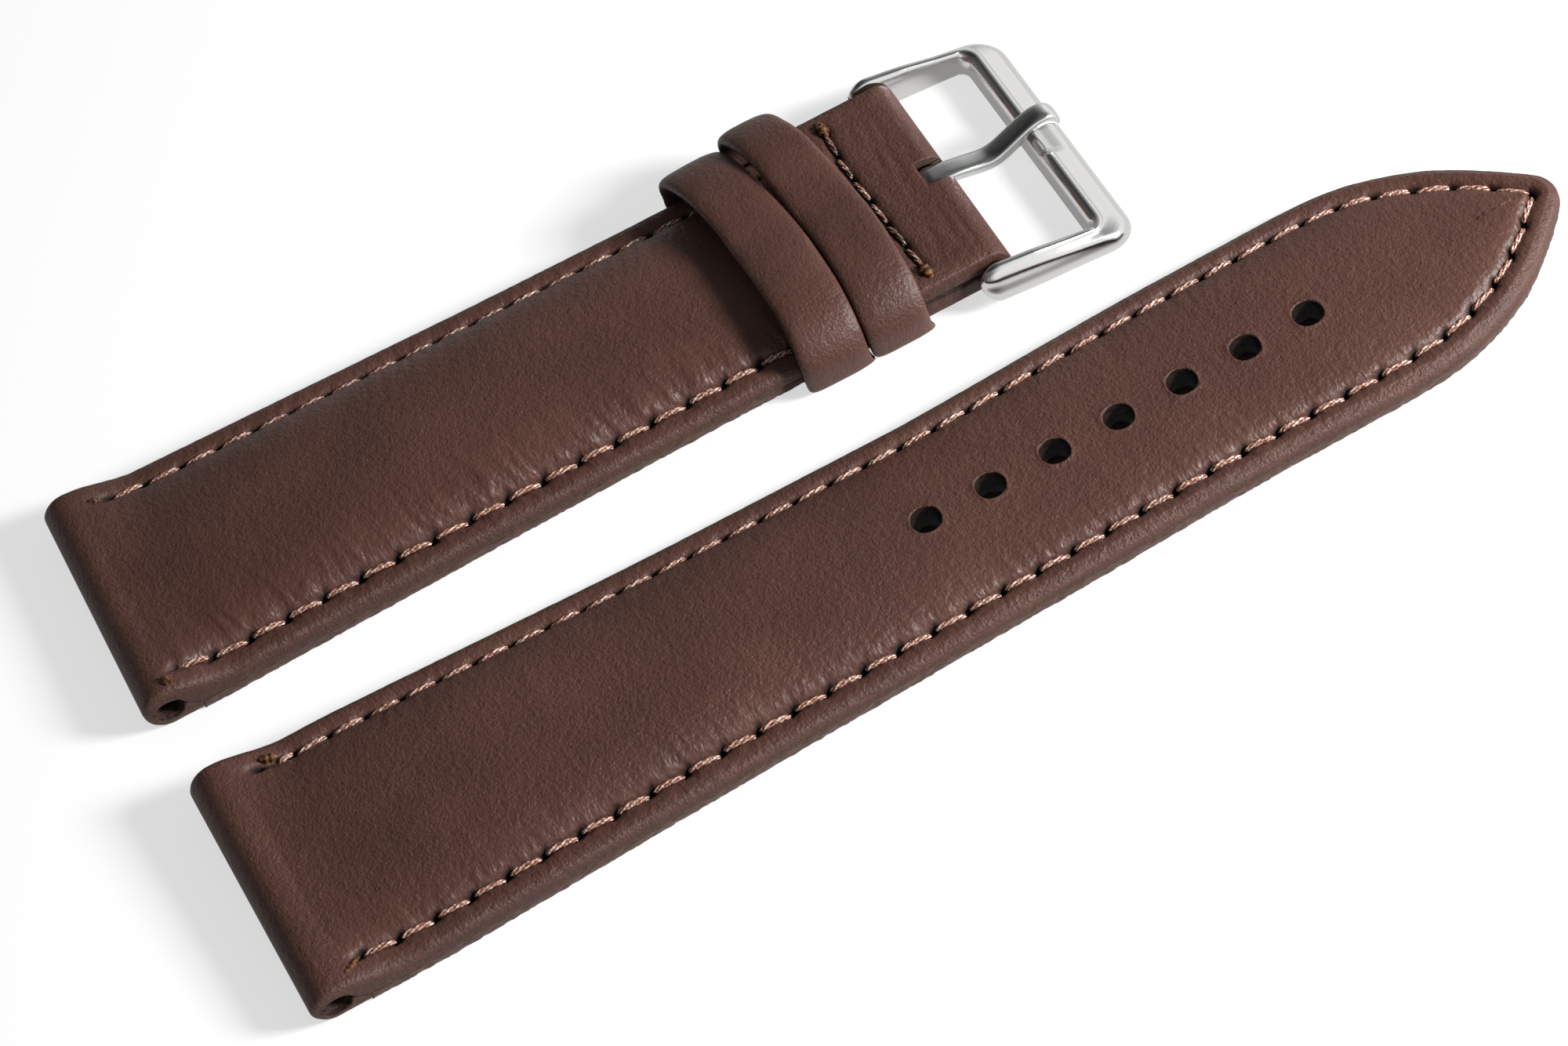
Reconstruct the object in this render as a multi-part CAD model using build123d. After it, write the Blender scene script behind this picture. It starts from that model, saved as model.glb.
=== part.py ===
from build123d import *
import os
from math import asin, atan2, cos, degrees, hypot, pi, radians, sin, sqrt, tan

os.makedirs("parts", exist_ok=True)

# A padded leather watch strap in two halves, laid side by side on a table.
# Each half is modelled flat: X runs from the lug end to the buckle or the tip,
# Y across, Z up from the underside of the lining. It is then set in its place:
# the long half flat, the short half leaning on its lug end and its free keeper,
# with the buckle's crossbar down on the table.

# Strap in plan
lug_width = 24.2
buckle_end_width = 22.2
hole_end_width = 21.4
long_length = 120.0
short_length = 80.15
tip_length = 21.5
tip_nose_radius = 2.5
lug_straight = 12.0
long_taper_share = 0.533
short_middle_share = 0.474
short_taper_share = 0.686
short_taper_middle_share = 0.25
long_taper_middle_share = 0.42

# Leather and what lies under it
lug_thickness = 4.2
lug_roll_length = 3.4
lug_slope_length = 2.6
border_thickness = 2.3
border_width = 2.6
lining_thickness = 0.95
leather_thickness = 1.0
full_crown = 4.75
lug_crown = 4.25
hole_crown = 3.4
tip_crown = 2.75
crown_sag = 0.85
lug_crown_sag = 0.1
hole_crown_sag = 0.65
tip_crown_sag = 0.35
shoulder_angle = 45.0
wrap_length = 4.8
padding_start = 6.0

# Lug tunnel for the watch's spring bar, with its lining strip
tunnel_diameter = 2.4
liner_thickness = 0.25
liner_tail_end = 10.0
liner_side_inset = 0.5

# Adjustment holes
hole_count = 7
hole_pitch = 5.9
hole_diameter = 2.5
last_hole_to_tip = 23.7

# Thread
long_stitch_pitch = 3.2
short_stitch_pitch = 3.35
stitch_length = 2.2
stitch_height = 0.34
stitch_width = 0.5
stitch_inset = 2.15
stitch_start = 5.4
stitch_slant = 7.0
thread_gap = 0.03

# Keepers
keeper_width = 5.9
keeper_wall = 1.2
keeper_floor = 0.7
keeper_side_gap = 0.4
keeper_under_gap = 0.15
free_keeper_side_height = 4.0
fixed_keeper_side_height = 4.4
keeper_crown_height = 5.0
free_keeper_corner = 2.0
fixed_keeper_corner = 1.5
keeper_foot_corner = 0.35
keeper_rounding = 0.4
keeper_inner_rounding = 0.15
free_keeper_to_fold = 20.65
keeper_spacing = 0.3

# Tab folded round the buckle's spring bar, with distances back from the fold's outside
fold_thickness = 3.7
slope_start_to_fold = 14.15
slope_end_to_fold = 8.55
flap_end_to_fold = 9.65
cross_stitch_to_fold = 7.35
core_end_to_fold = 4.55
cross_stitch_count = 6
core_side_inset = 1.0
core_low = 1.5
slot_side_gap = 0.3
slot_behind_bar = 1.42
slot_below_bar = 0.6

# Spring bar
bar_diameter = 1.5
bar_bore_diameter = 1.0
bar_end_gap = 0.15
bar_fold_gap = 0.1
tip_shaft_diameter = 0.92
tip_pivot_diameter = 0.8
tip_shaft_length = 3.4
tip_pivot_length = 1.15
spring_diameter = 0.84
spring_wire = 0.2
spring_turns = 10
spring_wire_sides = 6

# Buckle frame
buckle_side_gap = 0.3
buckle_arm_thickness = 1.9
buckle_arm_end_radius = 1.7
crossbar_inner = 9.1
crossbar_outer = 12.8
crossbar_height = 2.3
arm_middle_height = 2.9
buckle_outer_corner = 2.4
buckle_inner_corner = 0.9
crossbar_bevel = 2.1
crossbar_bevel_depth = 1.5
arm_bevel = 0.7
arm_bevel_depth = 1.5
buckle_rounding = 0.45
pivot_hole_diameter = 0.9
pivot_hole_depth = 1.3
rest_notch_width = 4.6
rest_notch_depth = 0.35

# Tang
tang_width = 2.1
tang_eye_gap = 0.05
tang_eye_wall = 0.47
tang_thickness = 1.2
tang_hip = 5.3
tang_crest = 9.6
tang_crest_rise = 2.0
tang_reach = 12.0
tang_tip_height = 1.85
tang_tip_thickness = 0.9
tang_rounding = 0.3

# Places of the two halves on the table
pair_spacing = 32.65
short_turn = -1.5
cut_overrun = 1.0

# Worked out from the sizes above
long_taper_end = long_length * long_taper_share
short_taper_middle = short_length * short_middle_share
short_taper_end = short_length * short_taper_share
first_hole = long_length - last_hole_to_tip - hole_pitch * (hole_count - 1)
fold_slope_start = short_length - slope_start_to_fold
fold_slope_end = short_length - slope_end_to_fold
flap_end = short_length - flap_end_to_fold
cross_stitch_place = short_length - cross_stitch_to_fold
core_end = short_length - core_end_to_fold
free_keeper_start = short_length - free_keeper_to_fold
buckle_inner_width = buckle_end_width + 2 * buckle_side_gap
fold_radius = fold_thickness / 2
bar_x = short_length - fold_radius
bar_z = fold_radius
bar_radius = bar_diameter / 2
fold_bore_radius = bar_radius + bar_fold_gap
nose_radius = lug_thickness / 2
liner_outer_radius = tunnel_diameter / 2 + liner_thickness
padding_inset = border_width + leather_thickness / cos(radians(shoulder_angle)) - (
    border_thickness - lining_thickness
)
buckle_outer_width = buckle_inner_width + 2 * buckle_arm_thickness
keeper_lift = keeper_floor + keeper_under_gap
short_tilt = degrees(asin(keeper_lift / (free_keeper_start + keeper_rounding - nose_radius)))
bar_height = bar_z + (bar_x - nose_radius) * sin(radians(short_tilt))
crossbar_reach = hypot(crossbar_outer, crossbar_height / 2)
crossbar_dip = degrees(asin(bar_height / crossbar_reach) - atan2(crossbar_height / 2, crossbar_outer))
rest_angle = crossbar_dip + short_tilt
pillow_start = nose_radius
full_height = full_crown + cut_overrun

# Shares of the length at which the crown is set, with its height and sag there
long_crown_shares = (0.01, 0.03, 0.08, 0.17, 0.34, 0.48, 0.62, 0.83, 1.02)
long_height_shares = (0.0, 0.05, 0.6, 1.0, 0.75, 0.25, 0.0, 0.0, 0.0)
short_crown_shares = (0.015, 0.045, 0.12, 0.25, 0.48, 0.62, 0.75, 0.9)
short_height_shares = (0.0, 0.05, 0.6, 1.0, 0.8, 0.5, 0.2, 0.1)


def long_half_width(x):
    """Half the width of the long half at a distance from its lug end."""
    middle = (lug_straight + long_taper_end) / 2
    wide, narrow = lug_width / 2, hole_end_width / 2
    half_way = narrow + (wide - narrow) * long_taper_middle_share
    return along(x, ((0, wide), (lug_straight, wide), (middle, half_way), (long_taper_end, narrow)))


def short_half_width(x):
    """Half the width of the short half at a distance from its lug end."""
    wide, narrow = lug_width / 2, buckle_end_width / 2
    middle = narrow + (wide - narrow) * short_taper_middle_share
    places = ((0, wide), (lug_straight / 2, wide), (short_taper_middle, middle), (short_taper_end, narrow))
    return along(x, places)


def along(x, places):
    """Straight interpolation through (place, value) pairs."""
    for (x0, v0), (x1, v1) in zip(places, places[1:]):
        if x <= x1:
            return v0 + (v1 - v0) * (x - x0) / (x1 - x0)
    return places[-1][1]


def side_points(half_width, kinks, start, end, inset):
    """Corner points of one long side, from start to end."""
    inner = [x for x in kinks if start < x < end]
    return [(x, half_width(x) - inset) for x in [start] + inner + [end]]


def long_side(start, inset):
    """Edges of the far side of the long half, from start round to the tip's nose."""
    shoulder = long_length - tip_length
    kinks = (lug_straight, (lug_straight + long_taper_end) / 2, long_taper_end)
    points = side_points(long_half_width, kinks, start, shoulder, inset)
    half = hole_end_width / 2
    run = tip_length - tip_nose_radius
    ogive = (run**2 + half**2 - tip_nose_radius**2) / (2 * (half - tip_nose_radius))
    nose_x = long_length - tip_nose_radius
    turn = atan2(nose_x - shoulder, ogive - half)
    radius = ogive - inset
    nose = tip_nose_radius - inset
    edges = [Line(a, b) for a, b in zip(points, points[1:])]
    if nose > 0:
        last = turn
    else:
        last = atan2(sqrt(radius**2 - (ogive - half) ** 2), ogive - half)
    middle = (shoulder + radius * sin(last / 2), half - ogive + radius * cos(last / 2))
    tangent_point = (shoulder + radius * sin(last), max(half - ogive + radius * cos(last), 0))
    edges.append(ThreePointArc(points[-1], middle, tangent_point))
    if nose > 0:
        half_turn = (pi / 2 - turn) / 2
        bend = (nose_x + nose * cos(half_turn), nose * sin(half_turn))
        edges.append(ThreePointArc(tangent_point, bend, (nose_x + nose, 0)))
    return edges


def closed_face(far_edges):
    """A plan face from the edges of its far side, mirrored for the near side."""
    near_edges = [mirror(edge, about=Plane.XZ) for edge in far_edges]
    start = far_edges[0] @ 0
    lug = Line((start.X, start.Y), (start.X, -start.Y))
    loops = near_edges + far_edges + [lug]
    end = far_edges[-1] @ 1
    if end.Y > 0:
        loops.append(Line((end.X, end.Y), (end.X, -end.Y)))
    return make_face(loops)


def long_plan(start, inset):
    return closed_face(long_side(start, inset))


def short_plan(start, end, inset):
    kinks = (lug_straight / 2, short_taper_middle, short_taper_end)
    points = side_points(short_half_width, kinks, start, end, inset)
    return closed_face([Line(a, b) for a, b in zip(points, points[1:])])


def across(profile):
    """A side profile, drawn in X and Z, carried right across the strap."""
    return extrude(Plane.XZ * profile, amount=lug_width, both=True)


def ease(a, b):
    """An S-shaped slope that starts and ends level."""
    return Spline(a, b, tangents=((1, 0), (1, 0)))


def lug_roll():
    """The rolled lug end and the slope down to the border, in X and Z."""
    top = lug_thickness
    slope_end = (lug_roll_length + lug_slope_length, border_thickness)
    return [
        ThreePointArc((nose_radius, 0), (0, nose_radius), (nose_radius, top)),
        Line((nose_radius, top), (lug_roll_length, top)),
        ease((lug_roll_length, top), slope_end),
    ]


def long_border():
    end = long_length + cut_overrun
    outline = lug_roll() + [
        Line((lug_roll_length + lug_slope_length, border_thickness), (end, border_thickness)),
        Line((end, border_thickness), (end, 0)),
        Line((end, 0), (nose_radius, 0)),
    ]
    prism = extrude(long_plan(0, 0), amount=full_height, dir=(0, 0, 1))
    return across(make_face(outline)) & prism


def short_border():
    """The short half's edges, with the tab that folds round the spring bar."""
    slope_end = (lug_roll_length + lug_slope_length, border_thickness)
    outline = lug_roll() + [
        Line(slope_end, (fold_slope_start, border_thickness)),
        ease((fold_slope_start, border_thickness), (fold_slope_end, fold_thickness)),
        Line((fold_slope_end, fold_thickness), (bar_x, fold_thickness)),
        ThreePointArc((bar_x, fold_thickness), (short_length, bar_z), (bar_x, 0)),
        Line((bar_x, 0), (nose_radius, 0)),
    ]
    prism = extrude(short_plan(0, short_length + cut_overrun, 0), amount=full_height, dir=(0, 0, 1))
    return across(make_face(outline)) & prism


def crown(length, places, heights, low, low_sag, drop):
    """The domed top over the padding, lofted through arched sections."""
    sections = []
    for place, share in zip(places, heights):
        x = length * place
        lug_share = max(0, 1 - place / places[2])
        base = low(place)
        height = base + (full_crown - base) * share
        height = height + (lug_crown - height) * lug_share - drop
        sag = low_sag(place) + (crown_sag - low_sag(place)) * share
        sag = sag + (lug_crown_sag - sag) * lug_share
        half = lug_width / 2
        section = [
            Line((-half, 0), (half, 0)),
            Line((half, 0), (half, height - sag)),
            ThreePointArc((half, height - sag), (0, height), (-half, height - sag)),
            Line((-half, height - sag), (-half, 0)),
        ]
        sections.append(Plane((x, 0, 0), x_dir=(0, 1, 0), z_dir=(1, 0, 0)) * make_face(section))
    return loft(sections, ruled=True)


def long_crown(drop):
    shoulder_share = 1 - tip_length / long_length

    def low(place):
        fade = max(0, place - shoulder_share) / (1 - shoulder_share)
        return hole_crown + (tip_crown - hole_crown) * fade

    def low_sag(place):
        fade = max(0, place - shoulder_share) / (1 - shoulder_share)
        return hole_crown_sag + (tip_crown_sag - hole_crown_sag) * fade

    return crown(long_length, long_crown_shares, long_height_shares, low, low_sag, drop)


def short_crown(drop):
    def low(place):
        return fold_thickness

    def low_sag(place):
        return hole_crown_sag

    return crown(short_length, short_crown_shares, short_height_shares, low, low_sag, drop)


def raised(plan, inset, start):
    """A block whose sides lean inward at the shoulder angle, from a level upward."""
    height = full_height - start
    lean = height * tan(radians(shoulder_angle))
    low = Pos(0, 0, start) * plan(0, inset)
    high = Pos(0, 0, full_height) * plan(lean, inset + lean)
    return loft([low, high], ruled=True)


def tunnel_strip():
    """The thin strip that lines the lug tunnel, with its glued tail."""
    ring = Circle(liner_outer_radius)
    tail_low = lining_thickness - nose_radius
    tail = Polyline(
        (0, tail_low),
        (liner_tail_end - nose_radius, tail_low),
        (liner_tail_end - nose_radius, tail_low + liner_thickness),
        (0, tail_low + liner_thickness),
        close=True,
    )
    profile = ring + make_face(tail) - Circle(tunnel_diameter / 2)
    half = lug_width / 2 - liner_side_inset
    place = Plane((nose_radius, 0, nose_radius), x_dir=(1, 0, 0), z_dir=(0, -1, 0))
    return extrude(place * profile, amount=half, both=True)


def rod_across(x, z, radius, half_length):
    """A round rod that lies across the strap."""
    return Pos(x, 0, z) * Rot(90, 0, 0) * Cylinder(radius, 2 * half_length)


def lug_bore():
    return rod_across(nose_radius, nose_radius, liner_outer_radius, lug_width)


def hole_places():
    return [first_hole + hole_pitch * i for i in range(hole_count)]


def with_holes(solid):
    """Punch the adjustment holes through a layer."""
    for x in hole_places():
        solid = solid - Pos(x, 0, border_thickness) * Cylinder(hole_diameter / 2, 2 * full_height)
    return solid


def long_half():
    def pillow_plan(pull, inset):
        return long_plan(pillow_start + pull, inset)

    def padding_plan(pull, inset):
        return long_plan(padding_start + pull, inset)

    pillow = long_crown(0) & raised(pillow_plan, border_width, border_thickness)
    outer = long_border() + pillow
    slab = extrude(long_plan(wrap_length, 0), amount=lining_thickness, dir=(0, 0, 1))
    strip = tunnel_strip()
    filling = long_crown(leather_thickness) & raised(padding_plan, padding_inset, lining_thickness)
    padding = filling - strip
    leather = outer - slab - padding - strip - lug_bore()
    return {
        "long_top_leather": with_holes(leather),
        "long_padding": with_holes(padding),
        "long_lining": with_holes(slab),
        "long_lug_liner": strip,
        "long_stitching": Compound(children=long_stitches()),
    }


def tab_core():
    """The flat filler between the two layers of the folded tab."""
    top = fold_thickness - leather_thickness
    outline = Polyline(
        (fold_slope_start, lining_thickness),
        (core_end, lining_thickness),
        (core_end, top),
        (fold_slope_end, top),
        (fold_slope_start, core_low),
        close=True,
    )
    half = buckle_end_width / 2 - core_side_inset
    return extrude(Plane.XZ * make_face(outline), amount=half, both=True)


def tang_slot():
    """The slot in the fold that lets the tang's eye onto the bar and lets it swing."""
    width = tang_width + 2 * slot_side_gap
    above = Box(short_length, width, full_height, align=(Align.MIN, Align.CENTER, Align.MIN))
    below = Box(short_length, width, full_height, align=(Align.MIN, Align.CENTER, Align.MAX))
    slot = rod_across(bar_x, bar_z, eye_radius() + bar_fold_gap, width / 2)
    slot = slot + Pos(bar_x - slot_behind_bar, 0, bar_z) * above
    return slot + Pos(bar_x - slot_below_bar, 0, bar_z) * below


def short_half():
    end = fold_slope_end - border_thickness / 2

    def pillow_plan(pull, inset):
        return short_plan(pillow_start + pull, end - pull, inset)

    def padding_plan(pull, inset):
        return short_plan(padding_start + pull, end - pull, inset)

    pillow = short_crown(0) & raised(pillow_plan, border_width, border_thickness)
    outer = short_border() + pillow
    slab = extrude(short_plan(wrap_length, flap_end, 0), amount=lining_thickness, dir=(0, 0, 1))
    strip = tunnel_strip()
    filling = short_crown(leather_thickness) & raised(padding_plan, padding_inset, lining_thickness)
    padding = filling - strip + tab_core()
    bar_room = rod_across(bar_x, bar_z, fold_bore_radius, lug_width)
    leather = outer - slab - padding - strip - lug_bore() - bar_room - tang_slot()
    far, near, cross = short_stitches()
    return {
        "short_top_leather": leather,
        "short_padding": padding,
        "short_lining": slab,
        "short_lug_liner": strip,
        "short_stitching_far": Compound(children=far),
        "short_stitching_near": Compound(children=near),
        "cross_stitching": Compound(children=cross),
    }


def stitch():
    """One visible stitch: a flat-bottomed length of thread, bowed on top."""
    half = stitch_length / 2
    side = make_face([
        Line((-half, 0), (half, 0)),
        ThreePointArc((half, 0), (0, stitch_height), (-half, 0)),
    ])
    return extrude(Plane.XZ * side, amount=stitch_width / 2, both=True)


def stitches_along(edges, pitch, height):
    """Even stitches along a run of edges and along its mirror image, as near to a pitch as goes."""
    path = Wire(edges)
    count = round(path.length / pitch)
    far, near = [], []
    for i in range(count):
        share = (2 * i + 1) / (2 * count)
        point = path.position_at(share)
        way = path.tangent_at(share)
        angle = degrees(atan2(way.Y, way.X)) + stitch_slant
        far.append(Pos(point.X, point.Y, height) * Rot(0, 0, angle) * stitch())
        near.append(Pos(point.X, -point.Y, height) * Rot(0, 0, -angle) * stitch())
    return far, near


def long_stitches():
    edges = long_side(stitch_start, stitch_inset)
    far, near = stitches_along(edges, long_stitch_pitch, border_thickness + thread_gap)
    return far + near


def short_stitches():
    kinks = (short_taper_middle, short_taper_end)
    points = side_points(short_half_width, kinks, stitch_start, fold_slope_start, stitch_inset)
    edges = [Line(a, b) for a, b in zip(points, points[1:])]
    far, near = stitches_along(edges, short_stitch_pitch, border_thickness + thread_gap)
    cross = []
    for i in range(cross_stitch_count):
        y = long_stitch_pitch * (i - (cross_stitch_count - 1) / 2)
        place = Pos(cross_stitch_place, y, fold_thickness + thread_gap)
        cross.append(place * Rot(0, 0, 90 + stitch_slant) * stitch())
    return far, near, cross


def keeper(start, under_gap, side_height, corner):
    """A leather loop round the strap, arched over the top."""
    half = buckle_end_width / 2 + keeper_side_gap

    def loop(grow, low):
        side = side_height + grow
        outline = make_face([
            Line((-half - grow, low), (half + grow, low)),
            Line((half + grow, low), (half + grow, side)),
            ThreePointArc((half + grow, side), (0, keeper_crown_height + grow), (-half - grow, side)),
            Line((-half - grow, side), (-half - grow, low)),
        ])
        rows = outline.vertices().group_by(Axis.Y)
        outline = fillet(rows[0], keeper_foot_corner + grow)
        return fillet(outline.vertices().group_by(Axis.Y)[-1], corner + grow)

    plane = Plane((start, 0, 0), x_dir=(0, 1, 0), z_dir=(1, 0, 0))
    outer = loop(keeper_wall, -under_gap - keeper_floor)
    inner = loop(0, -under_gap)
    block = extrude(plane * outer, amount=keeper_width)
    ends = block.faces().sort_by(Axis.X)
    block = fillet(ends[0].edges() + ends[-1].edges(), keeper_rounding)
    band = block - extrude(plane * inner, amount=keeper_width)
    ends = band.faces().sort_by(Axis.X)
    rims = ends[0].inner_wires()[0].edges() + ends[-1].inner_wires()[0].edges()
    return fillet(rims, keeper_inner_rounding)


def eye_radius():
    """Outer radius of the tang's eye."""
    return bar_radius + tang_eye_gap + tang_eye_wall


def spring_bar():
    """The buckle's spring bar: tube, coil spring and two telescoping tips."""
    half = buckle_inner_width / 2 - bar_end_gap
    tube = rod_across(0, 0, bar_radius, half) - rod_across(0, 0, bar_bore_diameter / 2, half)
    shoulder = buckle_inner_width / 2
    shaft_end = shoulder - tip_shaft_length
    shaft = Cylinder(
        tip_shaft_diameter / 2, tip_shaft_length, align=(Align.CENTER, Align.CENTER, Align.MIN)
    )
    pivot = Cylinder(
        tip_pivot_diameter / 2, tip_pivot_length, align=(Align.CENTER, Align.CENTER, Align.MIN)
    )
    upright = Pos(0, 0, shaft_end) * shaft + Pos(0, 0, shoulder) * pivot
    far_tip = Rot(-90, 0, 0) * upright
    near_tip = mirror(far_tip, about=Plane.XZ)
    wire_half = spring_wire / 2
    span = 2 * (shaft_end - wire_half)
    coil_radius = spring_diameter / 2 - wire_half
    coil = Helix(pitch=span / spring_turns, height=span, radius=coil_radius)
    start = Plane(origin=coil @ 0, z_dir=coil % 0)
    spring = sweep(start * RegularPolygon(wire_half, spring_wire_sides), path=coil, is_frenet=True)
    spring = Rot(90, 0, 0) * Pos(0, 0, -span / 2) * spring
    return {
        "spring_bar_tube": tube,
        "spring_bar_spring": spring,
        "spring_bar_tip_near": near_tip,
        "spring_bar_tip_far": far_tip,
    }


def buckle_frame():
    """The buckle: two arms from the bar to a bevelled crossbar, level, bar at the origin."""
    outer_half = buckle_outer_width / 2
    inner_half = buckle_inner_width / 2
    end = buckle_arm_end_radius
    back = -end - cut_overrun
    outer = Pos((back + crossbar_outer) / 2, 0) * Rectangle(crossbar_outer - back, 2 * outer_half)
    outer = fillet(outer.vertices().group_by(Axis.X)[-1], buckle_outer_corner)
    window = Pos((back + crossbar_inner) / 2, 0) * Rectangle(crossbar_inner - back, 2 * inner_half)
    window = fillet(window.vertices().group_by(Axis.X)[-1], buckle_inner_corner)
    ring = Pos(0, 0, -full_height) * extrude(outer - window, amount=2 * full_height)

    middle = crossbar_inner / 2
    bar_half = crossbar_height / 2
    arm_half = arm_middle_height / 2
    bevel_start = crossbar_outer - crossbar_bevel
    bevel_low = bar_half - crossbar_bevel_depth
    side = make_face([
        ThreePointArc((0, end), (-end, 0), (0, -end)),
        Spline((0, -end), (middle, -arm_half), (crossbar_inner, -bar_half), tangents=((1, 0), (1, 0))),
        Line((crossbar_inner, -bar_half), (crossbar_outer, -bar_half)),
        Line((crossbar_outer, -bar_half), (crossbar_outer, bevel_low)),
        Line((crossbar_outer, bevel_low), (bevel_start, bar_half)),
        Line((bevel_start, bar_half), (crossbar_inner, bar_half)),
        Spline((crossbar_inner, bar_half), (middle, arm_half), (0, end), tangents=((-1, 0), (-1, 0))),
    ])
    arm_low = bar_half - arm_bevel_depth
    lean = arm_bevel / arm_bevel_depth
    roof_half = outer_half - lean * (end - arm_low)
    roof = make_face([
        Polyline((-outer_half, -end), (outer_half, -end), (outer_half, arm_low), (roof_half, end),
                 (-roof_half, end), (-outer_half, arm_low), (-outer_half, -end)),
    ])
    frame = ring & extrude(Plane.XZ * side, amount=buckle_outer_width, both=True)
    frame = frame & extrude(Plane.YZ * roof, amount=buckle_outer_width, both=True)
    long_edges = frame.edges().filter_by(lambda e: e.length > buckle_arm_thickness * 2)
    frame = fillet(long_edges, buckle_rounding)
    blind_hole = Rot(90, 0, 0) * Cylinder(pivot_hole_diameter / 2, 2 * pivot_hole_depth)
    frame = frame - Pos(0, inner_half, 0) * blind_hole - Pos(0, -inner_half, 0) * blind_hole
    notch = Box(
        crossbar_outer, rest_notch_width, full_height, align=(Align.MIN, Align.CENTER, Align.MIN)
    )
    return frame - Pos(crossbar_inner - cut_overrun, 0, bar_half - rest_notch_depth) * notch


def buckle_tang():
    """The tang: an eye on the bar and a hipped prong that arches over the crossbar."""
    eye = eye_radius()
    low = eye - tang_thickness
    crest = eye + tang_crest_rise
    crest_low = crest - tang_thickness
    tip_low = tang_tip_height - tang_tip_thickness
    side = make_face([
        Line((0, low), (0, eye)),
        Line((0, eye), (tang_hip, eye)),
        Spline((tang_hip, eye), (tang_crest, crest), (tang_reach, tang_tip_height),
               tangents=((1, 0), (0, -1))),
        ThreePointArc(
            (tang_reach, tang_tip_height),
            (tang_reach - tang_tip_thickness / 2, tip_low),
            (tang_reach - tang_tip_thickness, tang_tip_height),
        ),
        Spline((tang_reach - tang_tip_thickness, tang_tip_height), (tang_crest, crest_low),
               (tang_hip, low), tangents=((0, 1), (-1, 0))),
        Line((tang_hip, low), (0, low)),
    ])
    prong = extrude(Plane.XZ * side, amount=tang_width / 2, both=True)
    blank = prong + rod_across(0, 0, eye, tang_width / 2)
    flanks = blank.faces().sort_by(Axis.Y)
    blank = fillet(flanks[0].edges() + flanks[-1].edges(), tang_rounding)
    return blank - rod_across(0, 0, bar_radius + tang_eye_gap, tang_width)


def placed_nodes():
    """Every named piece, in its place."""
    turn = radians(short_turn)
    buckle_reach = buckle_outer_width / 2 * cos(turn) + bar_x * sin(turn)
    short_reach = max(buckle_reach, lug_width / 2 * cos(turn))
    across_all = lug_width / 2 + pair_spacing + short_reach
    long_y = lug_width / 2 - across_all / 2
    long_place = Pos(-long_length / 2, long_y, 0)
    short_place = Pos(-long_length / 2, long_y + pair_spacing, 0) * Rot(0, 0, short_turn)
    short_place = short_place * Pos(nose_radius, 0, 0) * Rot(0, -short_tilt, 0) * Pos(-nose_radius, 0, 0)
    bar_place = short_place * Pos(bar_x, 0, bar_z)
    buckle_place = bar_place * Rot(0, rest_angle, 0)
    nodes = {name: long_place * solid for name, solid in long_half().items()}
    nodes.update({name: short_place * solid for name, solid in short_half().items()})
    fixed_start = free_keeper_start + keeper_width + keeper_spacing
    free = keeper(free_keeper_start, keeper_under_gap, free_keeper_side_height, free_keeper_corner)
    fixed = keeper(fixed_start, 0, fixed_keeper_side_height, fixed_keeper_corner)
    nodes["free_keeper"] = short_place * free
    nodes["fixed_keeper"] = short_place * fixed
    nodes.update({name: bar_place * solid for name, solid in spring_bar().items()})
    nodes["buckle_frame"] = buckle_place * buckle_frame()
    nodes["buckle_tang"] = buckle_place * buckle_tang()
    return nodes


for name, solid in placed_nodes().items():
    export_step(solid, f"parts/{name}.step")
    print(name, round(solid.volume, 2))
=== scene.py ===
# %% [markdown]
# # A leather watch strap, dressed from its solids
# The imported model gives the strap's two halves, its keepers and its buckle as plain
# solids. Here the leather gets its skin, its thread and its wear, all in the model's own
# frame: metres, X along the strap, Y across it, Z up from the table.

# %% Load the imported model
from math import atan2, cos, pi, radians, sin, sqrt

import bmesh
import bpy
import numpy as np
from mathutils import Matrix, Vector


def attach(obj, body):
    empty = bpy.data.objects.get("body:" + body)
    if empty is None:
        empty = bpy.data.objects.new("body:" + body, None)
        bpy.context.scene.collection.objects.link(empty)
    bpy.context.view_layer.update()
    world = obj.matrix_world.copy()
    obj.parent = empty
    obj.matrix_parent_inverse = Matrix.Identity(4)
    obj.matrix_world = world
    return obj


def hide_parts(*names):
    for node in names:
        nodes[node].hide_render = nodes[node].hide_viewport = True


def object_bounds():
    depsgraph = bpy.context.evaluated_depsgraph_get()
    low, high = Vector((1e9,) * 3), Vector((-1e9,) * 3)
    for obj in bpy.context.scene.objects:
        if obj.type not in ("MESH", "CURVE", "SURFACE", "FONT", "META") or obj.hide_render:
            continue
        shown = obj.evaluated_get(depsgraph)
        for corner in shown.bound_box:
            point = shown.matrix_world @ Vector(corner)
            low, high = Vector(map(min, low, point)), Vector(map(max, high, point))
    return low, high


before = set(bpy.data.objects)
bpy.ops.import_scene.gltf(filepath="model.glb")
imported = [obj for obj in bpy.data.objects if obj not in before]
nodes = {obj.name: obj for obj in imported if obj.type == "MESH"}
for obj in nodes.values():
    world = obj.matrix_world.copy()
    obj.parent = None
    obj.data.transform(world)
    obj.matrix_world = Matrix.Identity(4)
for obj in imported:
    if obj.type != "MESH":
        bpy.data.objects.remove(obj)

cad_box = [list(corner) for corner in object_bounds()]
print("the solids span", cad_box)

# %% [markdown]
# Leather work is measured in millimetres, so every shape below is drawn in millimetres on
# a strap that lies flat with its lug end at the origin. One matrix per half then sets it
# where its solids lie: the long half flat, the short half leaning on its lug end and on
# its free keeper, the buckle drooping until its crossbar meets the table.

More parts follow.
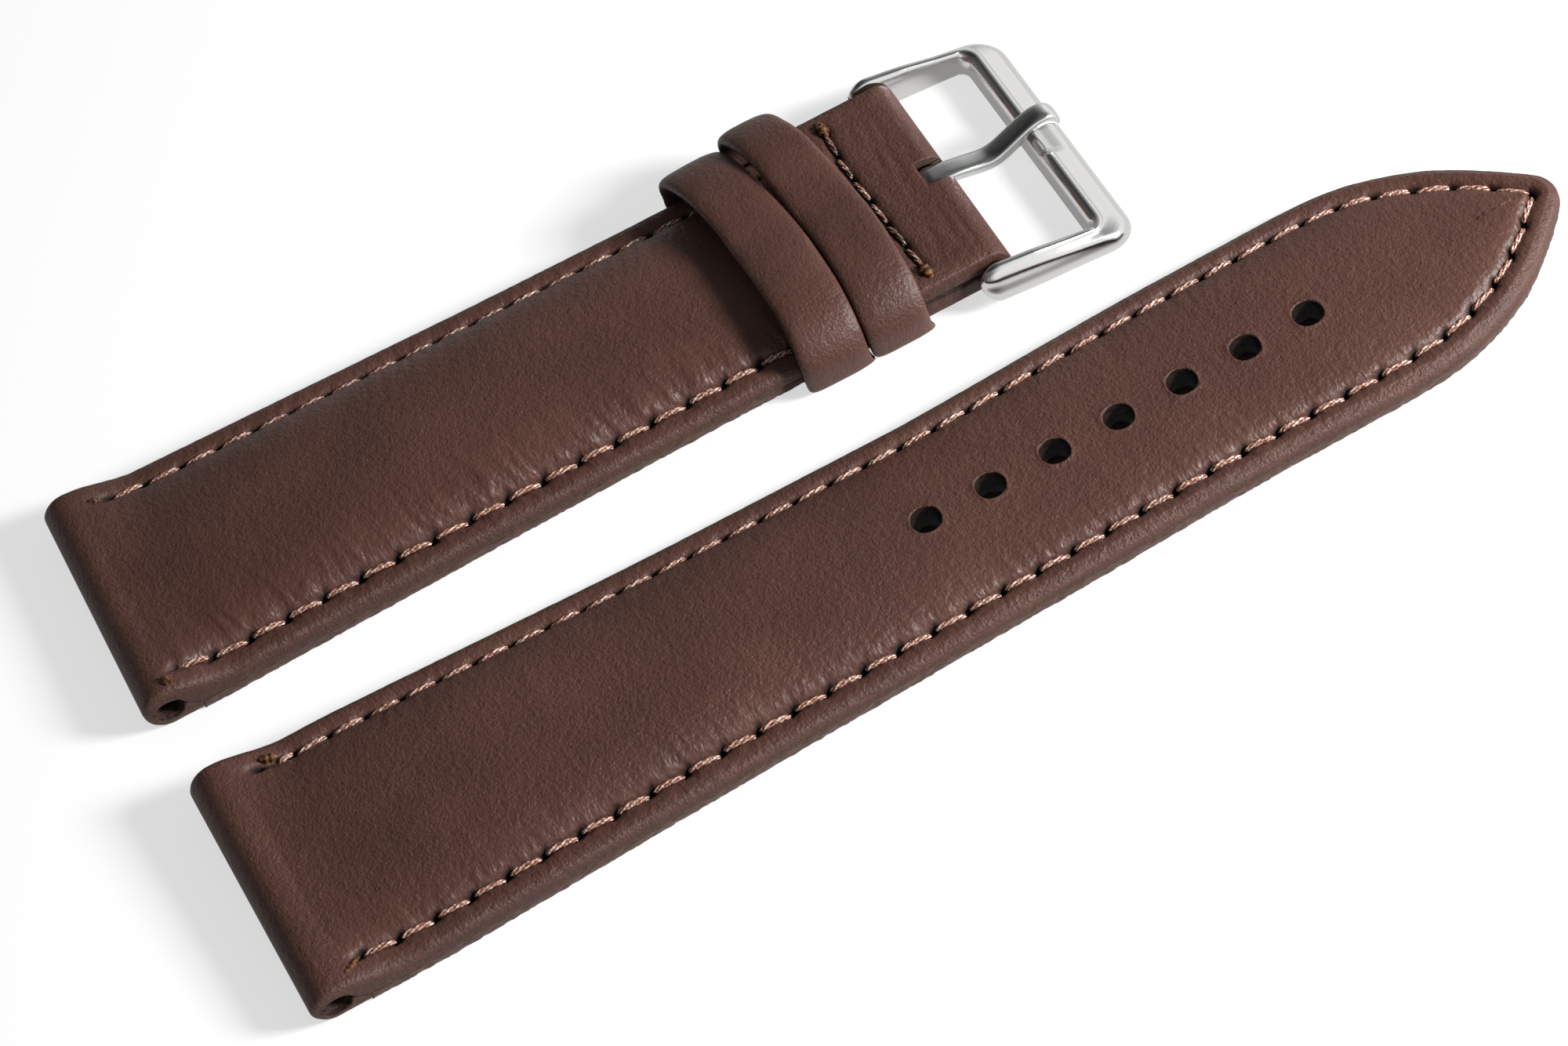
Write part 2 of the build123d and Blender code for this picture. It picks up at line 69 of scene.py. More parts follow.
# %% Places of the two halves, the bar and the buckle, in millimetres
MM = 0.001
LUG_RADIUS = 2.1
BAR_X = 78.3
BAR_Z = 1.85
LONG_SPOT = (-60, -16.323, 0)
SHORT_SPOT = (-60, 16.327, 0)
SHORT_TURN = radians(-1.5)
SHORT_LEAN = radians(-0.8426)
BUCKLE_DROOP = radians(9.0733)
LONG_PLACE = Matrix.Translation(LONG_SPOT)
SHORT_PLACE = (
    Matrix.Translation(SHORT_SPOT)
    @ Matrix.Rotation(SHORT_TURN, 4, "Z")
    @ Matrix.Translation((LUG_RADIUS, 0, 0))
    @ Matrix.Rotation(SHORT_LEAN, 4, "Y")
    @ Matrix.Translation((-LUG_RADIUS, 0, 0))
)
BUCKLE_PLACE = SHORT_PLACE @ Matrix.Translation((BAR_X, 0, BAR_Z)) @ Matrix.Rotation(BUCKLE_DROOP, 4, "Y")
print("buckle's bar at", [round(v, 2) for v in BUCKLE_PLACE.translation], "mm")


def set_down(points, place):
    """Points in millimetres on a flat strap, moved to their place in metres."""
    m = np.array(place)
    return (np.asarray(points, float) @ m[:3, :3].T + m[:3, 3]) * MM


# %% [markdown]
# The camera is the one that a fit to the photograph gives: about 37 cm away, looking down
# at 53 degrees, rolled so that the straps run up to the right, with a long lens.

# %% Camera
CAMERA_SPOT = Vector((-60.386, -223.454, 291.617)) * MM
CAMERA_YAW, CAMERA_PITCH, CAMERA_ROLL = 0.23779, 0.91900, -0.30829
CAMERA_LENS = 104.363
CAMERA_NEAR = 0.01


def aim(yaw, pitch, roll):
    """Camera axes from a heading, a look down and a roll."""
    ahead = Vector((sin(yaw) * cos(pitch), cos(yaw) * cos(pitch), -sin(pitch)))
    side = Vector((cos(yaw), -sin(yaw), 0))
    up = side.cross(ahead)
    right = side * cos(roll) + up * sin(roll)
    top = up * cos(roll) - side * sin(roll)
    return Matrix((right, top, -ahead)).transposed()


camera_data = bpy.data.cameras.new("camera")
camera_data.lens = CAMERA_LENS
camera_data.clip_start = CAMERA_NEAR
camera = bpy.data.objects.new("camera", camera_data)
bpy.context.scene.collection.objects.link(camera)
camera.matrix_world = Matrix.Translation(CAMERA_SPOT) @ aim(CAMERA_YAW, CAMERA_PITCH, CAMERA_ROLL).to_4x4()
bpy.context.scene.camera = camera
print("camera", round(CAMERA_SPOT.length, 3), "m from the strap's middle")

# %% [markdown]
# Colours are written as the sRGB hex values that a picture editor shows. Blender mixes
# light in linear values, so one function turns them over. Another adds a shader node with
# its settings and its links, which keeps each material a short list.

# %% Colours and shader nodes
def colour(hex_value):
    """A linear RGBA colour from an sRGB hex value."""
    parts = [int(hex_value[i:i + 2], 16) / 255 for i in (1, 3, 5)]
    linear = [p / 12.92 if p <= 0.04045 else ((p + 0.055) / 1.055) ** 2.4 for p in parts]
    return (*linear, 1.0)


def add(tree, kind, settings=None, links=None, stops=()):
    """Add a node with its settings, its inputs' sources and, on a ramp, its colour stops."""
    node = tree.nodes.new("ShaderNode" + kind)
    for name, value in (settings or {}).items():
        if isinstance(name, str) and hasattr(node, name) and name not in node.inputs:
            setattr(node, name, value)
        else:
            node.inputs[name].default_value = value
    for name, source in (links or {}).items():
        tree.links.new(source, node.inputs[name])
    for number, (place, hex_value) in enumerate(stops):
        elements = node.color_ramp.elements
        element = elements[number] if number < 2 else elements.new(place)
        element.position = place
        element.color = colour(hex_value)
    return node


def new_material(name):
    """An empty node material and its tree."""
    material = bpy.data.materials.new(name)
    material.use_nodes = True
    material.node_tree.nodes.clear()
    return material, material.node_tree


def per_metre(spacing_mm):
    """A texture scale for a pattern whose spacing is given in millimetres."""
    return 1 / (spacing_mm * MM)


print("the leather's brown in linear values:", [round(v, 3) for v in colour("#5d3d34")[:3]])


# %% [markdown]
# Full-grain calf leather is tanned hide with a dyed, lightly waxed face. The eye reads it
# by three things: a brown that is never quite even, a grain of wrinkles and pores a quarter
# to a half of a millimetre apart, and a broad satin shine with fine pale specks, which are
# painted in, partly as dust and partly as painted glints. Where the thread pulls on it, the
# pores are drawn out into short furrows across the seam. Attributes painted on the mesh say
# where it is pulled, paint shade into needle holes, seam valleys, creases and the side
# walls, and lift rubbed edges.

# %% Leather
PORE_SPACING = 0.42
WRINKLE_SPACING = 0.24
PEBBLE_SPACING = 0.75
FURROW_SPACING = 0.55
MOTTLE_SPACING = 7.0
SPECK_SPACING = 0.17
FURROW_STRETCH = (1.5, 0.42, 0.8)
GRAIN_TINT_SHARE, PORE_TINT_SHARE = 0.55, 0.22
PEBBLE_SHARE, PORE_SHARE = 0.6, 0.35
# The speck colour is partly dust, partly a painted glint; the near-black last one is painted shade.
DUST_AND_GLINT_SPECK, RUBBED, PAINTED_SHADE = "#94766a", "#7a5a4e", "#040303"
PAINTS = ("dark", "worn", "pulled")


def calf_leather(name, tones, roughness, grain, relief_height):
    """Dyed and waxed calf: mottle, grain and specks, then wear and dark creases over them."""
    material, tree = new_material(name)
    spot = add(tree, "TexCoord").outputs["Object"]
    # The first attribute carries painted shade, the second real rubbing, the third the thread's pull.
    painted_shade_amount, worn_amount, pulled = (
        add(tree, "Attribute", {"attribute_name": label}).outputs["Fac"] for label in PAINTS
    )

    # What the hide is made of, each pattern at its own spacing.
    mottle = add(tree, "TexNoise", {"Scale": per_metre(MOTTLE_SPACING), "Detail": 4.0}, {"Vector": spot})
    pores = add(
        tree, "TexVoronoi", {"Scale": per_metre(PORE_SPACING), "feature": "SMOOTH_F1"}, {"Vector": spot}
    )
    wrinkles = add(
        tree, "TexNoise", {"Scale": per_metre(WRINKLE_SPACING), "Detail": 3.0, "Roughness": 0.6},
        {"Vector": spot},
    )
    across = add(tree, "Mapping", {"Scale": FURROW_STRETCH}, {"Vector": spot}).outputs[0]
    furrows = add(
        tree, "TexNoise", {"Scale": per_metre(FURROW_SPACING), "Detail": 1.5, "Distortion": 0.4},
        {"Vector": across},
    )
    # Pale specks, partly dust and partly painted glints on the grain.
    dust_and_glints = add(tree, "TexNoise", {"Scale": per_metre(SPECK_SPACING), "Detail": 1.0}, {"Vector": spot})
    pebbles = add(tree, "TexNoise", {"Scale": per_metre(PEBBLE_SPACING), "Detail": 1.0}, {"Vector": spot})
    grain_mix = add(
        tree, "Mix", {"data_type": "FLOAT"},
        {0: pulled, 2: wrinkles.outputs["Fac"], 3: furrows.outputs["Fac"]},
    )

    # Its colour: the grain and the pores darken the mottled dye, and three tones lie over it.
    deep, mid, pale = tones
    base = add(
        tree, "ValToRGB", links={"Fac": mottle.outputs["Fac"]}, stops=[(0.3, deep), (0.5, mid), (0.72, pale)]
    )
    grain_tint = add(
        tree, "ValToRGB", links={"Fac": grain_mix.outputs[0]},
        stops=[(0.3, "#8f8784"), (0.5, "#eeebe9"), (0.66, "#ffffff")],
    )
    pore_tint = add(
        tree, "ValToRGB", links={"Fac": pores.outputs["Distance"]},
        stops=[(0.05, "#8f8683"), (0.4, "#ffffff")],
    )
    # Where the pale specks of dust and painted glints lie.
    dust_and_glint_mask = add(
        tree, "ValToRGB", links={"Fac": dust_and_glints.outputs["Fac"]}, stops=[(0.7, "#000000"), (0.77, "#b4b4b4")]
    )
    face = base.outputs[0]
    for share, tint in ((GRAIN_TINT_SHARE, grain_tint), (PORE_TINT_SHARE, pore_tint)):
        face = add(
            tree, "Mix", {"data_type": "RGBA", "blend_type": "MULTIPLY", 0: share * grain},
            {6: face, 7: tint.outputs[0]},
        ).outputs[2]
    # Pale specks of dust and painted glints, real rubbing, then painted shade, one over another.
    for amount, tone in ((dust_and_glint_mask.outputs[0], DUST_AND_GLINT_SPECK), (worn_amount, RUBBED), (painted_shade_amount, PAINTED_SHADE)):
        face = add(tree, "Mix", {"data_type": "RGBA", 7: colour(tone)}, {0: amount, 6: face}).outputs[2]

    # Its relief and shine.
    relief = grain_mix.outputs[0]
    for share, height in ((PEBBLE_SHARE, pebbles.outputs["Fac"]), (PORE_SHARE, pores.outputs["Distance"])):
        relief = add(
            tree, "Math", {"operation": "MULTIPLY_ADD", 1: share}, {0: height, 2: relief}
        ).outputs[0]
    bump = add(tree, "Bump", {"Strength": 0.9, "Distance": relief_height}, {"Height": relief})
    shine = add(
        tree, "MapRange", {"To Min": roughness - 0.05, "To Max": roughness + 0.05},
        {"Value": mottle.outputs["Fac"]},
    )
    # Where shade is painted the leather is matt as well.
    matt_in_painted_shade = add(
        tree, "Mix", {"data_type": "FLOAT", 3: 0.95}, {0: painted_shade_amount, 2: shine.outputs[0]}
    )
    shader = add(
        tree, "BsdfPrincipled", {"IOR": 1.5, "Specular IOR Level": 0.37},
        {"Base Color": face, "Roughness": matt_in_painted_shade.outputs[0], "Normal": bump.outputs[0]},
    )
    add(tree, "OutputMaterial", links={"Surface": shader.outputs[0]})
    return material


strap_leather = calf_leather("waxed calf leather", ("#573a31", "#5d3d34", "#634338"), 0.415, 0.55, 0.00014)
keeper_leather = calf_leather("smooth calf leather", ("#583a32", "#5e3f36", "#65453b"), 0.39, 0.5, 0.0001)
print("leathers:", strap_leather.name, "and", keeper_leather.name)

# %% [markdown]
# A cut through leather shows no face at all: it is the fibre bundle inside, dyed dark
# along the edge, matt and fuzzy. Under the strap lies the lining, a thin sueded leather
# with a short nap. Inside are felted padding board and a woven strip in each lug tunnel.

# %% Cut edges, lining, padding and tunnel strip
FIBRE_STRETCH = (0.35, 1.0, 2.2)


def fibrous(name, dark, light, spacing, roughness, depth, sheen=0.0):
    """A matt fibrous surface: stretched noise for the fibres, with their shadows."""
    material, tree = new_material(name)
    spot = add(tree, "TexCoord").outputs["Object"]
    stretched = add(tree, "Mapping", {"Scale": FIBRE_STRETCH}, {"Vector": spot}).outputs[0]
    fibres = add(tree, "TexNoise", {"Scale": per_metre(spacing), "Detail": 6.0}, {"Vector": stretched})
    tint = add(tree, "ValToRGB", links={"Fac": fibres.outputs["Fac"]}, stops=[(0.35, dark), (0.68, light)])
    bump = add(tree, "Bump", {"Strength": 0.9, "Distance": depth}, {"Height": fibres.outputs["Fac"]})
    shader = add(
        tree, "BsdfPrincipled", {"Roughness": roughness, "Sheen Weight": sheen, "Specular IOR Level": 0.25},
        {"Base Color": tint.outputs[0], "Normal": bump.outputs[0]},
    )
    add(tree, "OutputMaterial", links={"Surface": shader.outputs[0]})
    return material


cut_edge = fibrous("dyed cut edge of leather", "#140c0a", "#503a32", 0.35, 0.7, 0.0001)
hole_edge = fibrous("punched hole wall", "#060404", "#32241e", 0.3, 0.5, 0.0001)
lining_leather = fibrous("sueded lining leather", "#3a2721", "#664a40", 0.3, 0.85, 0.00005, 0.2)
padding_board = fibrous("felted padding board", "#5b5046", "#8b7c6d", 0.5, 0.95, 0.0001)
tunnel_cloth = fibrous("woven tunnel strip", "#221612", "#4a342b", 0.2, 0.8, 0.00008)
melted_end = fibrous("melted thread end", "#0d0706", "#8a5a35", 0.3, 0.3, 0.0001)
print("fibrous materials made")

# %% [markdown]
# Sewing thread here is a twisted polyester cord of three plies. It is trilobal filament,
# so each ply flashes a coppery pink where it turns to the light and goes almost black in
# the grooves, where shade is painted in. The twist is real geometry, so the material only
# needs filament lines, whose palest tone paints pale glints along them. Real filaments are
# a tenth as far apart as these, which is too fine to show.

# %% Thread
FILAMENT_SPACING = 0.2
# Painted shade for the grooves between the plies.
GROOVE_SHADE = "#0e0605"


def polyester_thread():
    """Shiny filament thread, with shade painted into the grooves between its plies."""
    material, tree = new_material("twisted polyester thread")
    spot = add(tree, "TexCoord").outputs["Object"]
    strands_and_glints = add(tree, "TexNoise", {"Scale": per_metre(FILAMENT_SPACING), "Detail": 2.0}, {"Vector": spot})
    # Filament tones; the palest stop paints glints.
    tint = add(
        tree, "ValToRGB", links={"Fac": strands_and_glints.outputs["Fac"]},
        stops=[(0.34, "#84503f"), (0.5, "#c48a76"), (0.6, "#ffe0d0")],
    )
    # Painted shade in the grooves between the plies.
    groove_shade = add(tree, "Attribute", {"attribute_name": "dark"}).outputs["Fac"]
    shaded = add(tree, "Mix", {"data_type": "RGBA", 7: colour(GROOVE_SHADE)}, {0: groove_shade, 6: tint.outputs[0]})
    shader = add(
        tree, "BsdfPrincipled", {"Roughness": 0.28, "IOR": 1.55}, {"Base Color": shaded.outputs[2]}
    )
    add(tree, "OutputMaterial", links={"Surface": shader.outputs[0]})
    return material


thread = polyester_thread()
print("thread:", thread.name)

# %% [markdown]
# The buckle is stainless steel, stamped and then polished on a wheel. A metal keeps the
# shader's own index of refraction; its look comes from a low roughness with faint polishing
# lines, drawn coarser than real ones so that they show, and from what there is to reflect.

# %% Steel
SCRATCH_SPACING = 0.12
SCRATCH_STRETCH = (0.15, 1.0, 1.0)
SCRATCH_DEPTH = 0.01


def polished_steel(name, tone, roughness):
    """Steel with the fine lines of the polishing wheel in its gloss and its relief."""
    material, tree = new_material(name)
    spot = add(tree, "TexCoord").outputs["Object"]
    lines = add(tree, "Mapping", {"Scale": SCRATCH_STRETCH}, {"Vector": spot}).outputs[0]
    scratches = add(tree, "TexNoise", {"Scale": per_metre(SCRATCH_SPACING), "Detail": 3.0}, {"Vector": lines})
    gloss = add(
        tree, "MapRange", {"To Min": roughness - 0.03, "To Max": roughness + 0.05},
        {"Value": scratches.outputs["Fac"]},
    )
    bump = add(
        tree, "Bump", {"Strength": 0.12, "Distance": SCRATCH_DEPTH * MM}, {"Height": scratches.outputs["Fac"]}
    )
    shader = add(
        tree, "BsdfPrincipled", {"Base Color": colour(tone), "Metallic": 1.0},
        {"Roughness": gloss.outputs[0], "Normal": bump.outputs[0]},
    )
    add(tree, "OutputMaterial", links={"Surface": shader.outputs[0]})
    return material


steel = polished_steel("polished stainless steel", "#e0dfdd", 0.14)
spring_steel = polished_steel("spring steel", "#a8a8a6", 0.3)
SPRING_BAR = {
    "spring_bar_tube": steel, "spring_bar_tip_near": steel, "spring_bar_tip_far": steel,
    "spring_bar_spring": spring_steel,
}
for name, metal in SPRING_BAR.items():
    nodes[name].data.materials.clear()
    nodes[name].data.materials.append(metal)
print("the spring bar keeps its", len(SPRING_BAR), "solids")

# %% [markdown]
# Hand work is never even, so the leather needs a smooth random wander that is the same on
# every run. A small lattice of seeded random numbers, blended between its points, gives it.
# Each piece is drawn as points and faces, because leather that is turned, sewn and pulled
# needs every point set by a formula; modifiers on a plain box could not follow the seam.

# %% Helpers for shapes
LATTICE_SIZE = 97
LATTICE = np.random.default_rng(7).random((LATTICE_SIZE, LATTICE_SIZE))
WELD_REACH, SLIVER_REACH = 2e-6, 1e-7  # In metres, as the finished mesh is.
print("a lattice of", LATTICE.size, "random numbers")


def wander(x, y):
    """Smooth noise from -1 to 1, about one bump per unit."""
    x, y = np.broadcast_arrays(np.asarray(x, float), np.asarray(y, float))
    x0, y0 = np.floor(x).astype(int), np.floor(y).astype(int)
    fx, fy = x - x0, y - y0
    fx, fy = fx * fx * (3 - 2 * fx), fy * fy * (3 - 2 * fy)
    x1, y1 = (x0 + 1) % LATTICE_SIZE, (y0 + 1) % LATTICE_SIZE
    x0, y0 = x0 % LATTICE_SIZE, y0 % LATTICE_SIZE
    a, b, c, d = LATTICE[x0, y0], LATTICE[x1, y0], LATTICE[x0, y1], LATTICE[x1, y1]
    return 2 * ((a * (1 - fx) + b * fx) * (1 - fy) + (c * (1 - fx) + d * fx) * fy) - 1


def ease(start, end, x):
    """0 before start, 1 after end, smooth between."""
    t = np.clip((np.asarray(x, float) - start) / (end - start), 0, 1)
    return t * t * (3 - 2 * t)


def lengths_along(points):
    """The length from a plan line's first point to each of its points."""
    return np.concatenate([[0], np.cumsum(np.hypot(*np.diff(points, axis=0).T))])


def ring_faces(rings, around, base=0, closed=False):
    """Faces of a tube: rings of points in order, each joined to the next."""
    faces = []
    for i in range(rings if closed else rings - 1):
        here, there = base + i * around, base + (i + 1) % rings * around
        for j in range(around):
            k = (j + 1) % around
            faces.append((here + j, here + k, there + k, there + j))
    return faces


def end_caps(rings, around, base=0):
    """The two faces that close a tube's ends."""
    last = base + (rings - 1) * around
    return [tuple(range(base, base + around)), tuple(range(last, last + around))]


def make_piece(name, points, faces, place, body, materials, paint=None, faces_material=None):
    """A mesh piece from millimetre points, set in place, riding on a body."""
    mesh = bpy.data.meshes.new(name)
    mesh.from_pydata(set_down(points, place).tolist(), [], [list(f) for f in faces])
    for label, values in (paint or {}).items():
        layer = mesh.attributes.new(label, "FLOAT", "POINT")
        layer.data.foreach_set("value", np.asarray(values, np.float32))
    for material in materials:
        mesh.materials.append(material)
    if faces_material is not None:
        mesh.polygons.foreach_set("material_index", np.asarray(faces_material, np.int32))
    mesh.polygons.foreach_set("use_smooth", [True] * len(mesh.polygons))
    mesh.validate()
    shape = bmesh.new()
    shape.from_mesh(mesh)
    bmesh.ops.remove_doubles(shape, verts=shape.verts, dist=WELD_REACH)
    bmesh.ops.dissolve_degenerate(shape, edges=shape.edges, dist=SLIVER_REACH)
    bmesh.ops.recalc_face_normals(shape, faces=shape.faces)
    shape.to_mesh(mesh)
    shape.free()
    piece = bpy.data.objects.new(name, mesh)
    bpy.context.scene.collection.objects.link(piece)
    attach(piece, body)
    return piece


# %% [markdown]
# Both halves share one build. Along the strap run stations: under the lug end, round the
# lug roll, along the top to the tip or the fold. Across each station run rows, set by
# their distance in from the edge: the wall, the turned edge, the border, the sewn valley,
# the shoulder and the crown. At the pointed tip the stations fan round the outline, so the
# border and the valley follow it, as the sewing machine does.

# %% Sizes of the strap's section, in millimetres
LUG_HALF = 12.1
LONG_END_HALF = 10.7
SHORT_END_HALF = 11.1
LONG_LENGTH = 120.0
TIP_LENGTH = 21.5
NOSE_RADIUS = 2.5
SHOULDER_X = LONG_LENGTH - TIP_LENGTH
NOSE_X = LONG_LENGTH - NOSE_RADIUS
LUG_HEIGHT = 4.2
FOLD_HEIGHT = 3.7
BORDER_HEIGHT = 2.3
BORDER_WIDTH = 2.6
LINING_HEIGHT = 0.95
LAYER_GAP = 0.02
WRAP_END = 4.8
FLAP_END = 70.5
STEP = 0.22


def taper(*points):
    """Half the strap's width along its length, straight between its points."""
    at, widths = zip(*points)
    return lambda x: np.interp(x, at, widths)


long_half_width = taper((12, LUG_HALF), (38, 11.29), (64, LONG_END_HALF))
short_half_width = taper((6, LUG_HALF), (38, 11.35), (55, SHORT_END_HALF))
print("half widths:", float(long_half_width(0)), "to", float(long_half_width(SHOULDER_X)))

# %% [markdown]
# The padding is fullest about 20 mm from the lug and fades towards the holes and the tab.
# Its height is read from a few stations and softened between them, because a felted board
# is pared down gently.

# %% The crown's height along each half
CROWN_HEIGHT = 4.75
LUG_CROWN_HEIGHT = 4.25
LONG_LOW, TIP_LOW = 3.4, 2.75
SHORT_CROWN_END = 81
CROWN_STEP, CROWN_OVERRUN, CROWN_SOFTENING = 0.5, 10, 15


def crown_curve(stations, shares, length, low, low_end):
    """Height of the crown along a half, softened between its stations."""
    x = np.arange(-CROWN_OVERRUN, length + CROWN_OVERRUN, CROWN_STEP)
    base = low + (low_end - low) * np.clip((x - SHOULDER_X) / TIP_LENGTH, 0, 1)
    height = base + (CROWN_HEIGHT - base) * np.interp(x, stations, shares)
    near_lug = np.clip(1 - x / stations[2], 0, 1)
    height = height + (LUG_CROWN_HEIGHT - height) * near_lug
    kernel = np.hanning(CROWN_SOFTENING) / np.hanning(CROWN_SOFTENING).sum()
    ends = CROWN_SOFTENING // 2
    padded = np.concatenate([np.full(ends, height[0]), height, np.full(ends, height[-1])])
    return x, np.convolve(padded, kernel, "valid")


LONG_CROWN = crown_curve(
    (1.2, 3.6, 9.6, 20.4, 40.8, 57.6, 74.4), (0, 0.05, 0.6, 1, 0.75, 0.25, 0), LONG_LENGTH, LONG_LOW, TIP_LOW
)
SHORT_CROWN = crown_curve(
    (1.2, 3.6, 9.6, 20.0, 38.5, 49.7, 60.1, 72.1), (0, 0.05, 0.6, 1, 0.8, 0.5, 0.2, 0.1),
    SHORT_CROWN_END, FOLD_HEIGHT, FOLD_HEIGHT,
)
print("crown's top:", round(LONG_CROWN[1].max(), 2), "and", round(SHORT_CROWN[1].max(), 2), "mm")

# %% [markdown]
# A sewing machine keeps one distance from the edge and an even stitch. The edge is drawn
# first: straight sides, then a pointed arch with a small round nose. Each point of it has
# a partner on the strap's middle line, so any line inside the edge lies between the two.
# The needle holes are then set out evenly along the sewn line.

# %% Outlines and needle holes along the sewn lines
STITCH_INSET = 2.15
STITCH_START = 5.4
SHORT_STITCH_END = 66.0
LONG_PITCH = 3.2
SHORT_PITCH = 3.35
NOSE_STEPS = 22


def sewn_line(points, pitch):
    """Even needle holes along a polyline, at a whole number of stitches near the pitch."""
    lengths = lengths_along(points)
    count = int(round(lengths[-1] / pitch))
    at = np.linspace(0, lengths[-1], count + 1)
    holes = np.stack([np.interp(at, lengths, points[:, 0]), np.interp(at, lengths, points[:, 1])], axis=1)
    return {"pitch": lengths[-1] / count, "holes": holes}


def tip_frame():
    """The ogive of the tip: its radius, its centre's offset, and where it meets the nose."""
    run = TIP_LENGTH - NOSE_RADIUS
    radius = (run**2 + LONG_END_HALF**2 - NOSE_RADIUS**2) / (2 * (LONG_END_HALF - NOSE_RADIUS))
    return radius, radius - LONG_END_HALF, atan2(run, radius - LONG_END_HALF)


OGIVE, OGIVE_OFFSET, OGIVE_TURN = tip_frame()


def long_outline():
    """Stations of the long half's far side: edge point, medial point, both in plan."""
    straight = np.arange(LUG_RADIUS, SHOULDER_X, STEP)
    edge = [(x, float(long_half_width(x))) for x in straight]
    middle = [(x, 0.0) for x in straight]
    for a in np.linspace(0, OGIVE_TURN, int(OGIVE * OGIVE_TURN / STEP)):
        edge.append((SHOULDER_X + OGIVE * sin(a), OGIVE * cos(a) - OGIVE_OFFSET))
        middle.append((SHOULDER_X + OGIVE_OFFSET * sin(a) / cos(a), 0.0))
    for a in np.linspace(OGIVE_TURN, pi / 2, NOSE_STEPS)[1:]:
        edge.append((NOSE_X + NOSE_RADIUS * sin(a), NOSE_RADIUS * cos(a)))
        middle.append((NOSE_X, 0.0))
    return np.array(edge), np.array(middle)


def short_outline():
    """Stations of the short half's far side, as far as the buckle's bar."""
    straight = np.append(np.arange(LUG_RADIUS, BAR_X - 0.1, STEP), BAR_X)
    return np.stack([straight, short_half_width(straight)], 1), np.stack([straight, 0 * straight], 1)


def inset_line(edge, middle, inset):
    """The line at one distance in from the edge, along the stations."""
    way = middle - edge
    length = np.maximum(np.hypot(*way.T), 1e-9)
    return edge + way * np.minimum(inset / length, 1)[:, None]


LONG_EDGE, LONG_MIDDLE = long_outline()
SHORT_EDGE, SHORT_MIDDLE = short_outline()
long_line = inset_line(LONG_EDGE, LONG_MIDDLE, STITCH_INSET)
long_sewn = sewn_line(long_line[long_line[:, 0] > STITCH_START], LONG_PITCH)
short_line = inset_line(SHORT_EDGE, SHORT_MIDDLE, STITCH_INSET)
short_run = (short_line[:, 0] > STITCH_START) & (short_line[:, 0] < SHORT_STITCH_END)
short_sewn = sewn_line(short_line[short_run], SHORT_PITCH)
print("needle holes on a side:", len(long_sewn["holes"]), "and", len(short_sewn["holes"]))

# %% [markdown]
# A needle leaves a slit, and the thread pulls the leather down into it. So the valley is
# deepest at each hole and shallow under each stitch, and small puckers fan out from the
# holes over the border and up the shoulder. All of that is one height, worked out from
# where a point lies along the sewn line and how far it is from it.

# %% Relief along the seams
VALLEY_DEPTH, VALLEY_WIDTH, BETWEEN_SHARE, PULLED_SHARE = 0.34, 0.42, 0.72, 0.5
SLIT_DEPTH, SLIT_LENGTH, SLIT_WIDTH, SLIT_OFFSET = 0.6, 0.52, 0.26, 0.06
NEAR_SLIT_SLANT, FAR_SLIT_SLANT = 0.45, 0.1
PULL_REACH, BORDER_REACH = 0.75, 1.1
FIRST_PULL, NEAR_FIRST_PULL, PULL_RISE = 3.6, 2.8, 2.2
LAST_PULL, PULL_FALL = 0.4, 0.8
FINE_SHARE, COARSE_SHARE, GATHER_SHARE = 0.62, 0.38, 0.5
GATHER_OFFSET, GATHER_WIDTH, SEAM_WIDTH, SHADOW_WIDTH = 0.55, 0.5, 0.35, 0.3
NEAR_STRENGTH, FAR_STRENGTH, FAR_PULL = 1.25, 0.7, 0.6
TIP_SOFTENING, TIP_VALLEY_LOSS, TIP_PUCKER_LOSS = (88, 104), 0.4, 0.65
CROSS_X = (72.95, 72.6, 72.55, 72.75, 72.8, 73.0, 73.15)
CROSS_START, CROSS_PITCH = 9.0, 3.0
CROSS_Y = [CROSS_START - CROSS_PITCH * i for i in range(len(CROSS_X))]
CROSS_FADE = (9.2, 10.4)
CROSS_DEPTH, CROSS_WIDTH = 0.26, 0.45
CROSS_SLIT_DEPTH, CROSS_SLIT_LENGTH, CROSS_SLIT_WIDTH = 0.3, 0.6, 0.28


def dent(off, reach):
    """1 at a place, falling smoothly to 0 past its reach."""
    return np.exp(-((off / reach) ** 2))


def past_hole(phase):
    """How far a place on the seam is past its nearest needle hole, in stitches."""
    return phase - np.round(phase)


